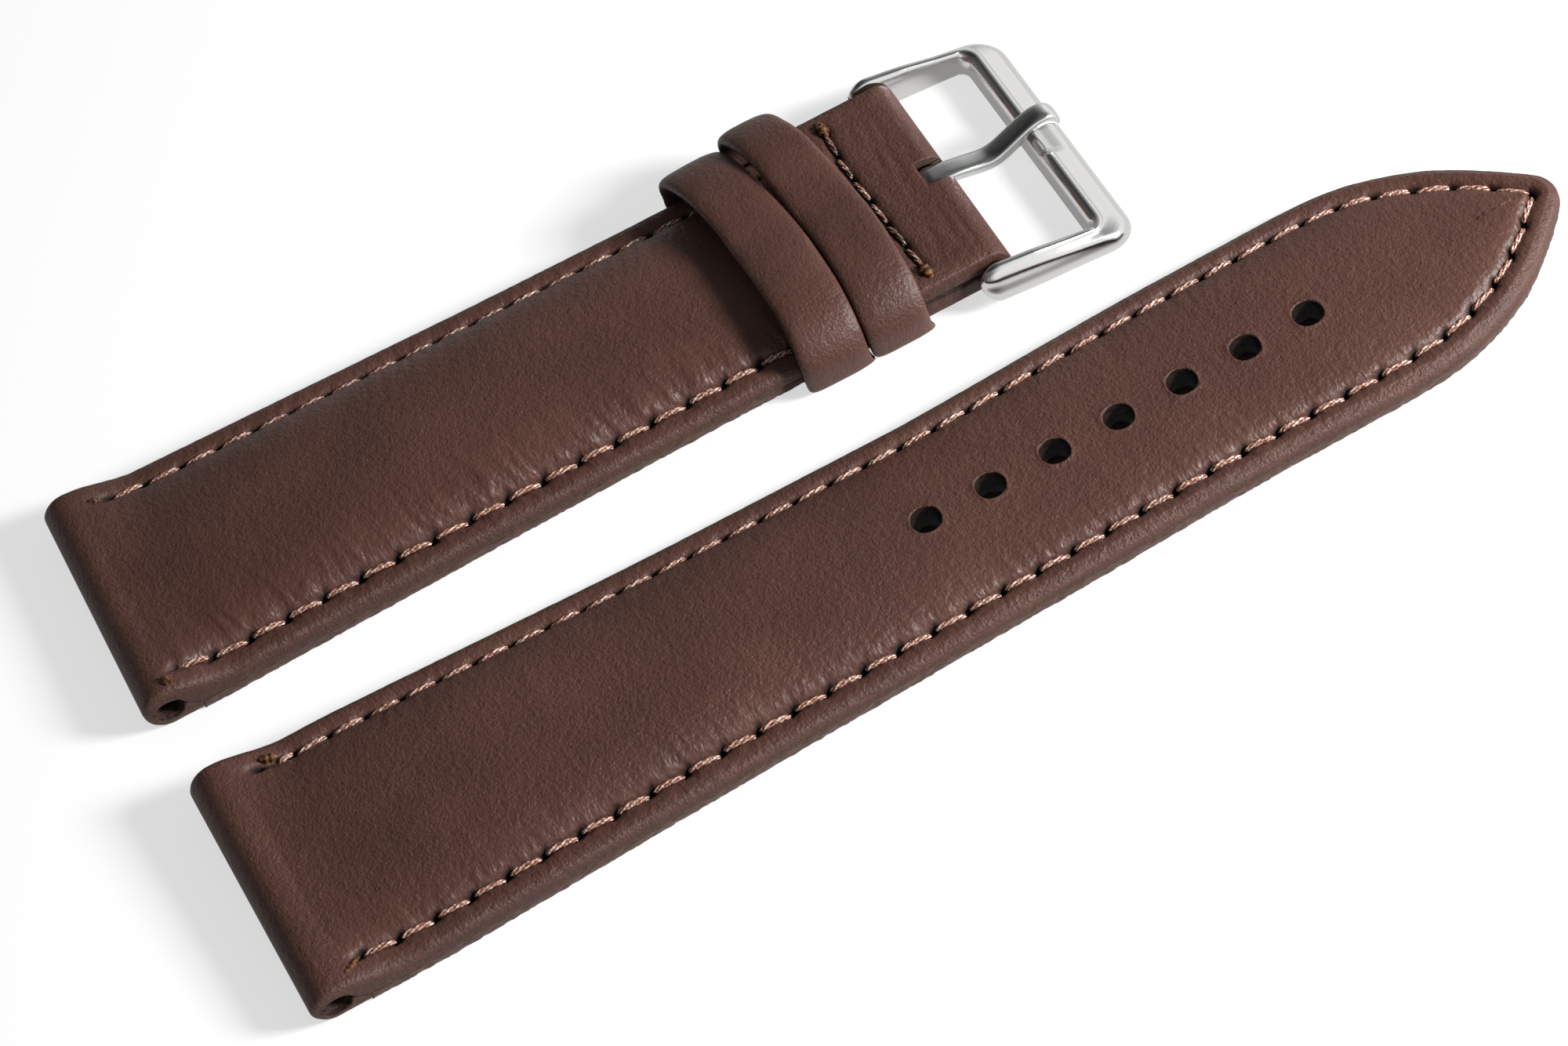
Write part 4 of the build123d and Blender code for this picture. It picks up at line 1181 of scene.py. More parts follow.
# %% [markdown]
# Inside each half a felted board gives the crown its height. It is never seen, but it is
# what makes the strap thick, so it is modelled too: the same dome, a leather's thickness
# lower and further in. It is two grids, one over the other, with walls between their edges.

# %% Padding
LEATHER_THICKNESS = 1.05
PADDING_START, LONG_PADDING_END, SHORT_PADDING_END = 6.2, 116.0, 76.0
PADDING_INSET, LEAST_PADDING, LEAST_PADDING_HEIGHT = 3.6, 0.4, 0.3
PADDING_STEP, PADDING_ROWS = 1.0, 25
PADDING_HOLE, PADDING_HOLE_ROWS = 2.0, 3


def side_walls(faces, offset):
    """Walls between the open edges of a lower grid and the same edges of its upper copy."""
    count = {}
    for face in faces:
        for a, b in zip(face, face[1:] + face[:1]):
            key = (min(a, b), max(a, b))
            count[key] = count.get(key, 0) + 1
    open_edges = [edge for edge, number in count.items() if number == 1 and max(edge) < offset]
    return [(a, b, b + offset, a + offset) for a, b in open_edges]


def padding(name, half, x1, body, node):
    """The felted board of one half, from the lug tunnel to x1, with room for the holes."""
    xs = np.arange(PADDING_START, x1, PADDING_STEP)
    shares = np.linspace(-1, 1, PADDING_ROWS)
    long = half["name"] == "long"
    low = LINING_HEIGHT + LAYER_GAP
    points, faces = [], []
    for level in (0, 1):
        for x in xs:
            if long and x > SHOULDER_X:
                edge = max(sqrt(max(OGIVE**2 - (x - SHOULDER_X) ** 2, 0)) - OGIVE_OFFSET, 0)
            else:
                edge = float(half["half_width"](x))
            reach = max(edge - PADDING_INSET, LEAST_PADDING)
            top = float(np.interp(x, *half["crown"])) - LEATHER_THICKNESS
            for share in shares:
                dome = (1 - abs(share) ** half["fullness"]) ** (1 / 1.6)
                rise = max(top - low, LEAST_PADDING_HEIGHT) * dome * level
                points.append((x, share * reach, low + rise + LAYER_GAP * level))
    n, m = len(xs), len(shares)
    for level in (0, 1):
        for i in range(n - 1):
            at_hole = long and any(abs(xs[i] + PADDING_STEP / 2 - hole) < PADDING_HOLE for hole in HOLES)
            for j in range(m - 1):
                if not (at_hole and abs(j + 0.5 - m // 2) < PADDING_HOLE_ROWS):
                    a = level * n * m + i * m + j
                    faces.append((a, a + 1, a + m + 1, a + m))
    faces += side_walls(faces, n * m)
    piece = make_piece(name, points, faces, half["place"], body, [padding_board])
    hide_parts(node)
    print(name, "has", len(piece.data.polygons), "faces")


padding("long_padding_board", long_half, LONG_PADDING_END, "long_half", "long_padding")
padding("short_padding_board", short_half, SHORT_PADDING_END, "short_half", "short_padding")

# %% [markdown]
# A thin woven strip lines each lug tunnel, so that the watch's own bar slides in without
# catching. It is a ring with a tail that is glued under the padding.

# %% Tunnel strips
STRIP_INNER, STRIP_OUTER, STRIP_INSET = 1.2, 1.42, 0.5
STRIP_WEAVE = 0.012
TAIL_START, TAIL_END = LUG_RADIUS + 1.0, 10.0
TAIL_LOW, TAIL_THICKNESS = LINING_HEIGHT + 0.03, 0.2
STRIP_STEPS, STRIP_AROUND = 24, 40


def tunnel_strip(name, place, body, node):
    """A woven ring round the lug tunnel, with its glued tail."""
    half = LUG_HALF - STRIP_INSET
    ys = np.linspace(-half, half, STRIP_STEPS)
    points = []
    for radius in (STRIP_INNER, STRIP_OUTER):
        for y in ys:
            for a in np.linspace(0, 2 * pi, STRIP_AROUND + 1)[:-1]:
                r = radius + STRIP_WEAVE * float(wander(a * 6, y * 2))
                points.append((LUG_RADIUS + r * cos(a), y, LUG_RADIUS + r * sin(a)))
    n, m = STRIP_STEPS, STRIP_AROUND
    faces = ring_faces(n, m) + ring_faces(n, m, n * m)
    for end in (0, n - 1):
        for j in range(m):
            a, b = end * m + j, end * m + (j + 1) % m
            faces.append((a, b, b + n * m, a + n * m))
    base, tail_top = len(points), TAIL_LOW + TAIL_THICKNESS
    corners = ((TAIL_START, TAIL_LOW), (TAIL_END, TAIL_LOW), (TAIL_END, tail_top), (TAIL_START, tail_top))
    points += [(x, y, z) for y in ys for x, z in corners]
    faces += ring_faces(n, len(corners), base) + end_caps(n, len(corners), base)
    piece = make_piece(name, points, faces, place, body, [tunnel_cloth])
    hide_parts(node)
    print(name, "has", len(piece.data.polygons), "faces")


tunnel_strip("long_tunnel_strip", LONG_PLACE, "long_half", "long_lug_liner")
tunnel_strip("short_tunnel_strip", SHORT_PLACE, "short_half", "short_lug_liner")

# %% [markdown]
# A stitch is a short length of three-ply cord that comes up out of one needle slit, rides
# over the leather and goes down the next. Each ply is a thin tube that winds round the
# stitch's own curved line; together they give the little slanted flashes of the photograph.

# %% A stitch's plies
PLY_RADIUS = 0.14
PLY_OFFSET = 0.1
PLIES = 3
TWIST_PITCH = 2.6
RING = 7
STITCH_SHARE = 0.1
STITCH_STEPS = 19
STITCH_DIP = 0.75


def ply_tube(line, phase, radius, offset, twist):
    """A tube that winds round a line at an offset: its rings of points, and the shade painted where it faces
    into the cord.
    """
    line = np.asarray(line, float)
    tangent = np.gradient(line, axis=0)
    tangent /= np.linalg.norm(tangent, axis=1)[:, None]
    side = np.cross(tangent, [0, 0, 1])
    side /= np.maximum(np.linalg.norm(side, axis=1), 1e-9)[:, None]
    up = np.cross(side, tangent)
    length = np.concatenate([[0], np.cumsum(np.linalg.norm(np.diff(line, axis=0), axis=1))])
    angle = phase + 2 * pi * length / twist
    share = length / length[-1]
    slim = 0.68 + 0.36 * np.sin(pi * share) ** 0.6
    core = line + (offset * slim)[:, None] * (np.cos(angle)[:, None] * side + np.sin(angle)[:, None] * up)
    around = np.linspace(0, 2 * pi, RING + 1)[:-1]
    rings = core[:, None, :] + radius * slim[:, None, None] * (
        np.cos(around)[None, :, None] * side[:, None, :] + np.sin(around)[None, :, None] * up[:, None, :]
    )
    out = np.cos(angle)[:, None] * np.cos(around)[None, :] + np.sin(angle)[:, None] * np.sin(around)[None, :]
    return rings, np.clip(0.75 - 1.35 * out, 0, 1)


def cord_mesh(lines, seed):
    """Three twisted plies along each line, as one mesh's points, faces and painted groove shade."""
    points, faces, dark = [], [], []
    rng = np.random.default_rng(seed)
    count = 0
    for line in lines:
        start = rng.random() * 2 * pi
        swell = 0.92 + 0.16 * rng.random()
        for ply in range(PLIES):
            phase = start + ply * 2 * pi / PLIES
            rings, groove_shade = ply_tube(line, phase, PLY_RADIUS * swell, PLY_OFFSET * swell, TWIST_PITCH)
            points.append(rings.reshape(-1, 3))
            dark.append(groove_shade.reshape(-1))
            faces += ring_faces(len(rings), RING, count) + end_caps(len(rings), RING, count)
            count += len(rings) * RING
    return np.concatenate(points), faces, np.concatenate(dark)


def stitch_line(start, end, height, lift, slant):
    """A stitch's own line from slit to slit, bowed up, with a slight slant."""
    start, end = np.asarray(start, float), np.asarray(end, float)
    way = (end - start) / np.linalg.norm(end - start)
    side = np.array([-way[1], way[0]])
    t = np.linspace(STITCH_SHARE, 1 - STITCH_SHARE, STITCH_STEPS)
    plan = start + (end - start) * t[:, None] + side * ((t - 0.5) * slant)[:, None]
    bow = lift - STITCH_DIP * np.abs(2 * t - 1) ** 4
    return np.column_stack([plan, height + bow])


print("the thread is about", round(2 * (PLY_RADIUS + PLY_OFFSET), 2), "mm over its plies")

# %% [markdown]
# A row of stitches follows the needle holes of its side. Where a row ends, the thread is
# cut and its end is burnt, which leaves a hard ringed bead; each bead is placed where the
# photograph shows one. Beads are swept rings, like the plies.

# %% Rows of stitches and melted ends
STITCH_LIFT, STITCH_SLANT = 0.1, 0.28
STITCH_SINK, CROSS_SINK = 0.16, 0.2
CROSS_LIFT, CROSS_SLANT = 0.12, 0.25
CROSS_EXTRA_DARK = 0.5
BEAD_AROUND, BEAD_STEPS = 14, 8


def sewn_stitches(half, sides):
    """The stitches of a half's rows, as lines from needle hole to needle hole."""
    lines = []
    for side in sides:
        shift = half["near_shift"] * half["sewn"]["pitch"] if side < 0 else 0
        holes = half["sewn"]["holes"] * [1, side] - [shift, 0]
        for number, (a, b) in enumerate(zip(holes, holes[1:])):
            if number == 0 and side > 0:
                a = a + half["lock"] * (b - a)
            height = float(border_height(half, (a[0] + b[0]) / 2)) - STITCH_SINK
            wobble = 0.05 * float(wander(number * 1.7 + 5 * side, half["seed"]))
            slant = side * STITCH_SLANT * (1 + 4 * wobble)
            lines.append(stitch_line(a, b, height, STITCH_LIFT + wobble, slant))
    return lines


def melted_end_rings(start, end, radius, rings):
    """A burnt end of thread: a short ringed lump between two points, as rings of points."""
    start, end = np.asarray(start, float), np.asarray(end, float)
    way = end - start
    side = np.cross(way, [0, 0, 1])
    side /= np.linalg.norm(side)
    up = np.cross(side, way) / np.linalg.norm(way)
    around = np.linspace(0, 2 * pi, BEAD_AROUND + 1)[:-1]
    lump = []
    for t in np.linspace(0, 1, BEAD_STEPS * rings + 1):
        girth = radius * (sin(pi * min(max(t, 0.02), 0.98)) ** 0.45) * (1 + 0.16 * cos(2 * pi * rings * t))
        wobble = 1 + 0.12 * wander(np.cos(around) * 2 + 5 * t, np.sin(around) * 2 + start[0])
        out = girth * (wobble * np.cos(around))[:, None] * side
        lump.append(start + way * t + out + girth * (wobble * np.sin(around))[:, None] * up)
    return np.array(lump)


def sew(name, lines, ends, half, body, node, seed, extra_dark=0.0):
    """One thread as a piece: its stitches, and its melted ends."""
    points, faces, dark = cord_mesh(lines, seed)
    # A thread can be darkened further, in patches; the cross row is.
    dark = np.clip(dark + extra_dark * (1 + wander(points[:, 0] * 1.1 + seed, points[:, 1] * 1.1)), 0, 1)
    kinds = [0] * len(faces)
    for end in ends:
        lump = melted_end_rings(*end)
        n, m = lump.shape[:2]
        faces += ring_faces(n, m, len(points)) + end_caps(n, m, len(points))
        kinds += [1] * (len(faces) - len(kinds))
        points = np.concatenate([points, lump.reshape(-1, 3)])
        dark = np.concatenate([dark, np.zeros(n * m)])
    piece = make_piece(
        name, by_hand(half, points), faces, half["place"], body, [thread, melted_end],
        {"dark": dark}, kinds,
    )
    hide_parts(node)
    print(name, "has", len(lines), "stitches and", len(ends), "melted ends")


def on_top(half, x, y, lift):
    """A point on the leather's top at a plan place, raised by a little."""
    return (x, y, float(border_height(half, x)) + lift)


# Each melted end: where it starts, where it ends, its radius and its number of rings.
LONG_ENDS = [
    (on_top(long_half, 6.0, 10.5, 0.14), on_top(long_half, 7.4, 10.3, 0.1), 0.34, 3),
    (on_top(long_half, 5.3, -10.1, 0.0), on_top(long_half, 3.6, -11.2, -0.1), 0.24, 5),
]
SHORT_NEAR_ENDS = [(on_top(short_half, 3.4, -10.7, 0.1), on_top(short_half, 2.7, -11.35, 0.02), 0.44, 2)]
SHORT_FAR_ENDS = [(on_top(short_half, 4.9, 9.8, 0.0), on_top(short_half, 3.9, 10.0, 0.0), 0.25, 2)]
CROSS_ENDS = [
    ((72.9, 8.3, 3.8), (72.8, 10.1, 3.75), 0.5, 3),
    ((73.1, -8.7, 3.8), (73.3, -10.4, 3.7), 0.5, 3),
]
long_rows = sewn_stitches(long_half, (1, -1))
far_row, near_row = (sewn_stitches(short_half, (side,)) for side in (1, -1))
cross_holes = list(zip(CROSS_X, CROSS_Y))
cross_row = [
    stitch_line(a, b, FOLD_HEIGHT - CROSS_SINK, CROSS_LIFT, CROSS_SLANT)
    for a, b in zip(cross_holes, cross_holes[1:])
]
sew("long_thread", long_rows, LONG_ENDS, long_half, "long_half", "long_stitching", 21)
sew("short_thread_far", far_row, SHORT_FAR_ENDS, short_half, "short_half", "short_stitching_far", 22)
sew("short_thread_near", near_row, SHORT_NEAR_ENDS, short_half, "short_half", "short_stitching_near", 23)
sew("cross_thread", cross_row, CROSS_ENDS, short_half, "short_half", "cross_stitching", 24, CROSS_EXTRA_DARK)

# %% [markdown]
# A keeper is a strip of leather folded to a flat tube and closed to a loop. Its section is
# a soft-edged bar, and the loop is a low arch over the strap with round shoulders. It is
# one grid: round the loop one way, round the strip's section the other.

# %% The keepers' loop
KEEPER_WALL = 1.05
KEEPER_FLOOR = 0.7
KEEPER_MIDDLE = (0.0, 2.2)
KEEPER_FLOOR_HALF, KEEPER_CORNER_HALF = 11.0, 12.0
KEEPER_FLOOR_DROP, KEEPER_CORNER_RISE = 0.05, 0.3
KEEPER_STEPS, KEEPER_SOFTENING = 300, 7
FAR_RISE, FAR_SPREAD, SPREAD_SHARE, SIDE_RISE = (0, 9), (4, 10), 0.2, (0.5, 3.2)
KEEPER_OUTLINE = [
    (12.45, 1.0), (12.4, 2.2), (11.9, 3.15), (10.6, 3.95), (8.6, 4.65), (6.3, 5.35), (3.2, 5.95), (0, 6.22),
    (-3.2, 6.3), (-6.0, 6.22), (-8.2, 5.95), (-10.2, 5.25), (-11.7, 4.2), (-12.45, 2.9), (-12.6, 1.6),
    (-12.5, 0.3),
]


def keeper_loop(floor, far_rise):
    """The middle line of the keeper's strip, as points with outward normals, in Y and Z."""
    top = np.array(KEEPER_OUTLINE, float)
    top[:, 1] += far_rise * ease(*FAR_RISE, top[:, 0]) * ease(*SIDE_RISE, top[:, 1])
    top[:, 0] += SPREAD_SHARE * far_rise * ease(*FAR_SPREAD, top[:, 0]) * ease(*SIDE_RISE, top[:, 1])
    out = top - KEEPER_MIDDLE
    upper = top - out / np.hypot(*out.T)[:, None] * (KEEPER_WALL / 2)
    corner = floor - KEEPER_FLOOR_DROP
    lower = [
        (-KEEPER_CORNER_HALF, corner), (-KEEPER_FLOOR_HALF, floor), (KEEPER_FLOOR_HALF, floor),
        (KEEPER_CORNER_HALF, corner + KEEPER_CORNER_RISE),
    ]
    closed = np.vstack([upper, lower, upper[:1]])
    lengths = lengths_along(closed)
    at = np.linspace(0, lengths[-1], KEEPER_STEPS + 1)[:-1]
    even = np.stack([np.interp(at, lengths, closed[:, 0]), np.interp(at, lengths, closed[:, 1])], 1)
    kernel = np.hanning(2 * KEEPER_SOFTENING + 3)[1:-1]
    kernel /= kernel.sum()
    rolled = sum(w * np.roll(even, k - KEEPER_SOFTENING, axis=0) for k, w in enumerate(kernel))
    tangent = np.roll(rolled, -1, 0) - np.roll(rolled, 1, 0)
    normal = np.stack([tangent[:, 1], -tangent[:, 0]], 1)
    normal /= np.hypot(*normal.T)[:, None]
    return rolled, normal, at


print("a keeper arches", max(z for _, z in KEEPER_OUTLINE), "mm over the strap's underside")

# %% [markdown]
# The free keeper has slid up to the fixed one. Both lean and bow a little, because their
# strips were closed by hand, and the leather domes between the folded edges.

# %% Both keepers
KEEPER_SKEW = 0.065
KEEPER_BOW, KEEPER_HALF = 0.5, 12.5
KEEPER_DOME = 0.16
KEEPER_AROUND = 60
WIDTH_CHANGE, FLOOR_TURN = (0, 11), (0.2, -0.75)
SQUARE_POWER, FLAT_POWER = 0.36, 0.6
DIMPLE, GRAIN_RIPPLE, EDGE_WOBBLE = 0.06, 0.03, 0.08
# The loop's inner face gets painted shade.
RUB_SHARE, INSIDE_SHADE = 0.3, 0.6
FREE_KEEPER = {"start": 59.7, "width": 5.9, "far_width": 5.7, "far_rise": 1.2, "under_gap": 0.15}
FIXED_KEEPER = {"start": 65.8, "width": 5.5, "far_width": 4.9, "far_rise": 2.4, "under_gap": 0.0}


def keeper(name, body, node, seed, start, width, far_width, far_rise, under_gap):
    """A closed leather loop from x = start, wider or narrower towards the far side."""
    line, normal, at = keeper_loop(-under_gap - KEEPER_FLOOR / 2, far_rise)
    points, dark, worn = [], [], []
    for s, (y, z), (ny, nz) in zip(at, line, normal):
        wide = width + (far_width - width) * float(ease(*WIDTH_CHANGE, y))
        thin = float(ease(*FLOOR_TURN, nz)) if nz < FLOOR_TURN[0] else 0.0
        wall = KEEPER_WALL * (1 - thin) + KEEPER_FLOOR * thin
        bow = KEEPER_BOW * (1 - 2 * (y / KEEPER_HALF) ** 2) * (1 - thin)
        for a in np.linspace(0, 2 * pi, KEEPER_AROUND + 1)[:-1]:
            along, out = cos(a), sin(a)
            px = np.sign(along) * abs(along) ** SQUARE_POWER * wide / 2
            pn = np.sign(out) * abs(out) ** FLAT_POWER * wall / 2
            dome = KEEPER_DOME * (1 - (px / (wide / 2)) ** 2) * (pn > 0) * (1 - thin)
            dimple = DIMPLE * float(wander(s / 5 + seed, px / 4))
            soft = dimple + GRAIN_RIPPLE * float(wander(s / 1.4, px / 1.2 + seed))
            edge_wobble = EDGE_WOBBLE * float(wander(s / 4 + seed * 3, np.sign(along) * 2))
            lift = pn + dome + (soft if pn > 0 else 0)
            x = start + wide / 2 + px + edge_wobble * abs(along) - KEEPER_SKEW * y + bow
            points.append((x, y + ny * lift, z + nz * lift))
            # Painted shade on the loop's inner face, over the strap.
            dark.append(INSIDE_SHADE if pn < -0.1 else 0.0)
            rub = max(0, float(wander(s / 2, px + seed)))
            worn.append(RUB_SHARE * rub if abs(px) > 0.44 * wide and pn > 0 else 0)
    piece = make_piece(
        name, points, ring_faces(KEEPER_STEPS, KEEPER_AROUND, closed=True), SHORT_PLACE, body,
        [keeper_leather], {"dark": dark, "worn": worn},
    )
    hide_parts(node)
    print(name, "has", len(piece.data.polygons), "faces")


keeper("free_keeper_loop", "free_keeper", "free_keeper", 3, **FREE_KEEPER)
keeper("fixed_keeper_loop", "short_half", "fixed_keeper", 8, **FIXED_KEEPER)

# %% [markdown]
# The buckle's frame is one bent and polished bar whose section changes as it goes: a narrow
# rounded ridge runs all the way round beside the window, and outside it the metal falls
# away in a wide bevel. It is drawn as one sweep: stations run from one arm's rounded end,
# round the crossbar to the other, and each carries the same ridge-and-bevel section,
# stretched between the window's edge and the outer edge.

# %% Buckle frame
WINDOW_HALF, WINDOW_END, WINDOW_CORNER = 11.4, 9.1, 0.9
FRAME_HALF, FRAME_END, FRAME_CORNER = 13.3, 12.8, 2.6
ARM_END, ARM_INNER_CUT, ARM_OUTER_CUT = 1.72, 0.4, 1.25
ARM_STATIONS, ARM_HALF_HEIGHTS = (0, 3, 6, 9), (1.72, 1.62, 1.32, 1.15)
CROSSBAR_HALF_HEIGHT = 1.15
RIDGE, RIDGE_SLOPE = 1.15, 0.2
REST_NEAR_EDGE, REST_FAR_EDGE, REST_DEPTH = (-2.6, -1.6), (0.6, 1.4), 0.32
REST_SHARE = 0.3


def frame_stations():
    """Inner point, outer point and half height of each section, far half first."""
    rows = []
    for a in np.radians(np.linspace(84, 0, 14)):
        x, narrow = -ARM_END * sin(a), 1 - cos(a)
        inner, outer = WINDOW_HALF + ARM_INNER_CUT * narrow, FRAME_HALF - ARM_OUTER_CUT * narrow
        rows.append((x, inner, x, outer, ARM_END * cos(a)))
    for t in np.linspace(0, 1, 26)[1:]:
        x_in, x_out = t * (WINDOW_END - WINDOW_CORNER), t * (FRAME_END - FRAME_CORNER)
        half = float(np.interp(x_in, ARM_STATIONS, ARM_HALF_HEIGHTS))
        rows.append((x_in, WINDOW_HALF, x_out, FRAME_HALF, half))
    for a in np.radians(np.linspace(90, 0, 15)[1:]):
        ahead, back = 1 - cos(a), 1 - sin(a)
        rows.append((
            WINDOW_END - WINDOW_CORNER * ahead, WINDOW_HALF - WINDOW_CORNER * back,
            FRAME_END - FRAME_CORNER * ahead, FRAME_HALF - FRAME_CORNER * back, CROSSBAR_HALF_HEIGHT,
        ))
    coarse, fine = np.linspace(1, REST_SHARE, 24)[1:], np.linspace(REST_SHARE, 0, 46)[1:]
    for t in np.concatenate([coarse, fine]):
        y_in, y_out = t * (WINDOW_HALF - WINDOW_CORNER), t * (FRAME_HALF - FRAME_CORNER)
        rows.append((WINDOW_END, y_in, FRAME_END, y_out, CROSSBAR_HALF_HEIGHT))
    mirrored = [(xi, -yi, xo, -yo, half) for xi, yi, xo, yo, half in rows[-2::-1]]
    return np.array(rows + mirrored)


def frame_section(width, half):
    """The section's loop, as distances out from the window's edge and heights."""
    low = -half + 0.5 * half
    ridge = min(RIDGE, 0.62 * width)
    slope = ridge + RIDGE_SLOPE
    return np.array([
        (0.3, -half), (0.07, -0.86 * half), (0, -0.5 * half), (0.02, 0), (0.1, 0.38 * half),
        (0.24, 0.7 * half), (0.44, 0.92 * half), (0.64, half), (0.82 * ridge, 0.985 * half),
        (ridge, 0.87 * half), (slope, 0.72 * half), (0.55 * width + 0.45 * slope, 0.4 * half),
        (0.9 * width, 0.02 * half), (0.98 * width, low + 0.12 * half), (width, low - 0.1 * half),
        (0.97 * width, -0.85 * half), (0.85 * width, -half),
    ])


def closed_curve(points, per_span):
    """A smooth closed curve through points: Catmull-Rom."""
    before, after, beyond = np.roll(points, 1, 0), np.roll(points, -1, 0), np.roll(points, -2, 0)
    out = []
    for t in np.linspace(0, 1, per_span + 1)[:-1]:
        out.append(0.5 * (
            2 * points + (after - before) * t + (2 * before - 5 * points + 4 * after - beyond) * t**2
            + (3 * points - before - 3 * after + beyond) * t**3
        ))
    return np.stack(out, 1).reshape(-1, points.shape[1])


def steel_piece(name, rings, body, node):
    """A closed skin of polished steel over rings of points."""
    n, m = len(rings), len(rings[0])
    faces = ring_faces(n, m) + end_caps(n, m)
    piece = make_piece(name, np.concatenate(rings), faces, BUCKLE_PLACE, body, [steel])
    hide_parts(node)
    print(name, "has", len(piece.data.polygons), "faces")


rings = []
for xi, yi, xo, yo, half in frame_stations():
    inner, outer = np.array([xi, yi]), np.array([xo, yo])
    width = float(np.hypot(*(outer - inner)))
    section = closed_curve(frame_section(width, half), 3)
    plan = inner + (outer - inner) / width * section[:, :1]
    in_rest = float(ease(*REST_NEAR_EDGE, yi) * (1 - ease(*REST_FAR_EDGE, yi))) * (xi > WINDOW_END - 0.01)
    height = section[:, 1] - REST_DEPTH * in_rest * ease(0.3 * half, half, section[:, 1])
    rings.append(np.column_stack([plan, height]))
steel_piece("buckle_frame_bar", rings, "buckle", "buckle_frame")

# %% [markdown]
# The tang is a strip bent round the bar into an eye, then forged to a rounded prong. It
# runs level out of the leather, dips, climbs in a straight ramp and curls over the
# crossbar into its rest. One sweep makes it: a centre line in the side view, and a section
# that is thin round the bar and domed along the prong.

# %% Tang
EYE_RADIUS, EYE_WALL, EYE_TURN = 1.03, 0.47, 345
TANG_HALF = 1.05
TANG_TOP = [
    (0.0, 1.27), (1.2, 1.34), (2.6, 1.3), (4.0, 1.16), (5.2, 1.1), (6.0, 1.42), (7.0, 2.12), (8.0, 2.82),
    (8.9, 3.42), (9.8, 3.78), (10.6, 3.82), (11.2, 3.6), (11.65, 3.2), (11.85, 2.7),
]
TANG_THICK = [0.47, 0.95, 1.15, 1.2, 1.2, 1.2, 1.2, 1.2, 1.2, 1.15, 1.1, 1.05, 0.95, 0.8]
TANG_STEPS, TANG_SOFTENING, TANG_AROUND = 90, 12, 36
TANG_NOSE, NOSE_SHARES = 0.42, (0.35, 0.65, 0.85, 0.97)


def tang_line():
    """Centre points in the side view with their thickness and half width."""
    rows = [
        (EYE_RADIUS * cos(a), EYE_RADIUS * sin(a), EYE_WALL, TANG_HALF)
        for a in np.radians(np.linspace(90 + EYE_TURN, 90, 40))
    ]
    top = np.array(TANG_TOP)
    t = np.linspace(0, len(top) - 1, TANG_STEPS)
    smooth = np.stack([np.interp(t, range(len(top)), top[:, k]) for k in (0, 1)], 1)
    for _ in range(TANG_SOFTENING):
        smooth[1:-1] = (smooth[:-2] + 2 * smooth[1:-1] + smooth[2:]) / 4
    thick = np.interp(t, range(len(top)), TANG_THICK)
    way = np.gradient(smooth, axis=0)
    way /= np.hypot(*way.T)[:, None]
    down = np.stack([way[:, 1], -way[:, 0]], 1)
    centre = smooth + down * thick[:, None] / 2
    rows += [(x, z, w, TANG_HALF) for (x, z), w in zip(centre[1:], thick[1:])]
    for share in NOSE_SHARES:
        x, z = centre[-1] + way[-1] * TANG_NOSE * share
        shrink = sqrt(1 - share * share)
        rows.append((x, z, thick[-1] * shrink, TANG_HALF * (0.35 + 0.65 * shrink)))
    return np.array(rows)


line = tang_line()
way = np.gradient(line[:, :2], axis=0)
way /= np.hypot(*way.T)[:, None]
around = np.linspace(0, 2 * pi, TANG_AROUND + 1)[:-1]
across, over = np.cos(around), np.sin(around)
domed = np.where(over > 0, np.abs(over) ** 0.85, -np.abs(over) ** 0.4)
rings = []
for (x, z, thick, half), (wx, wz) in zip(line, way):
    y = half * np.sign(across) * np.abs(across) ** 0.62
    rise = domed * thick / 2
    rings.append(np.column_stack([x - wz * rise, y, z + wx * rise]))
steel_piece("buckle_tang_prong", rings, "tang", "buckle_tang")

# %% [markdown]
# The photograph's light is one softbox on the right, a little in front and some 30 degrees
# up: it brightens every slope that faces it and leaves the far slopes dim. A pale room
# fills the rest weakly. The camera sees plain white. Mirrors and waxed leather see a white
# sky that darkens overhead and away from the lamp, because steel looks flat in a room that
# is white all round. The floor glows a little so that it is as white as the photograph's,
# and still takes the strap's shadow.

# %% Floor and light
KEY_DIRECTION = Vector((0.73, -0.48, 0.485)).normalized()
KEY_DISTANCE = 0.45
KEY_SIZE = 0.11
KEY_LEVEL = 1.5
FILL_LEVEL = 0.17
FLOOR_GLOW, GLOSSY_GLOW_LOSS = 0.62, 0.35
FLOOR_HALF, FLOOR_GAP = 0.9, 0.0001
BRIGHT_SIDE = (0.8, -0.45, 0.0)
WHITE = "#ffffff"


def softbox(name, direction, distance, size, level):
    """A square lamp that lights a surface facing it to the given share of its own colour."""
    data = bpy.data.lights.new(name, "AREA")
    data.shape = "SQUARE"
    data.size = size
    data.energy = level * pi * pi * distance**2
    light = bpy.data.objects.new(name, data)
    bpy.context.scene.collection.objects.link(light)
    light.location = direction * distance
    light.rotation_euler = (-direction).to_track_quat("-Z", "Y").to_euler()


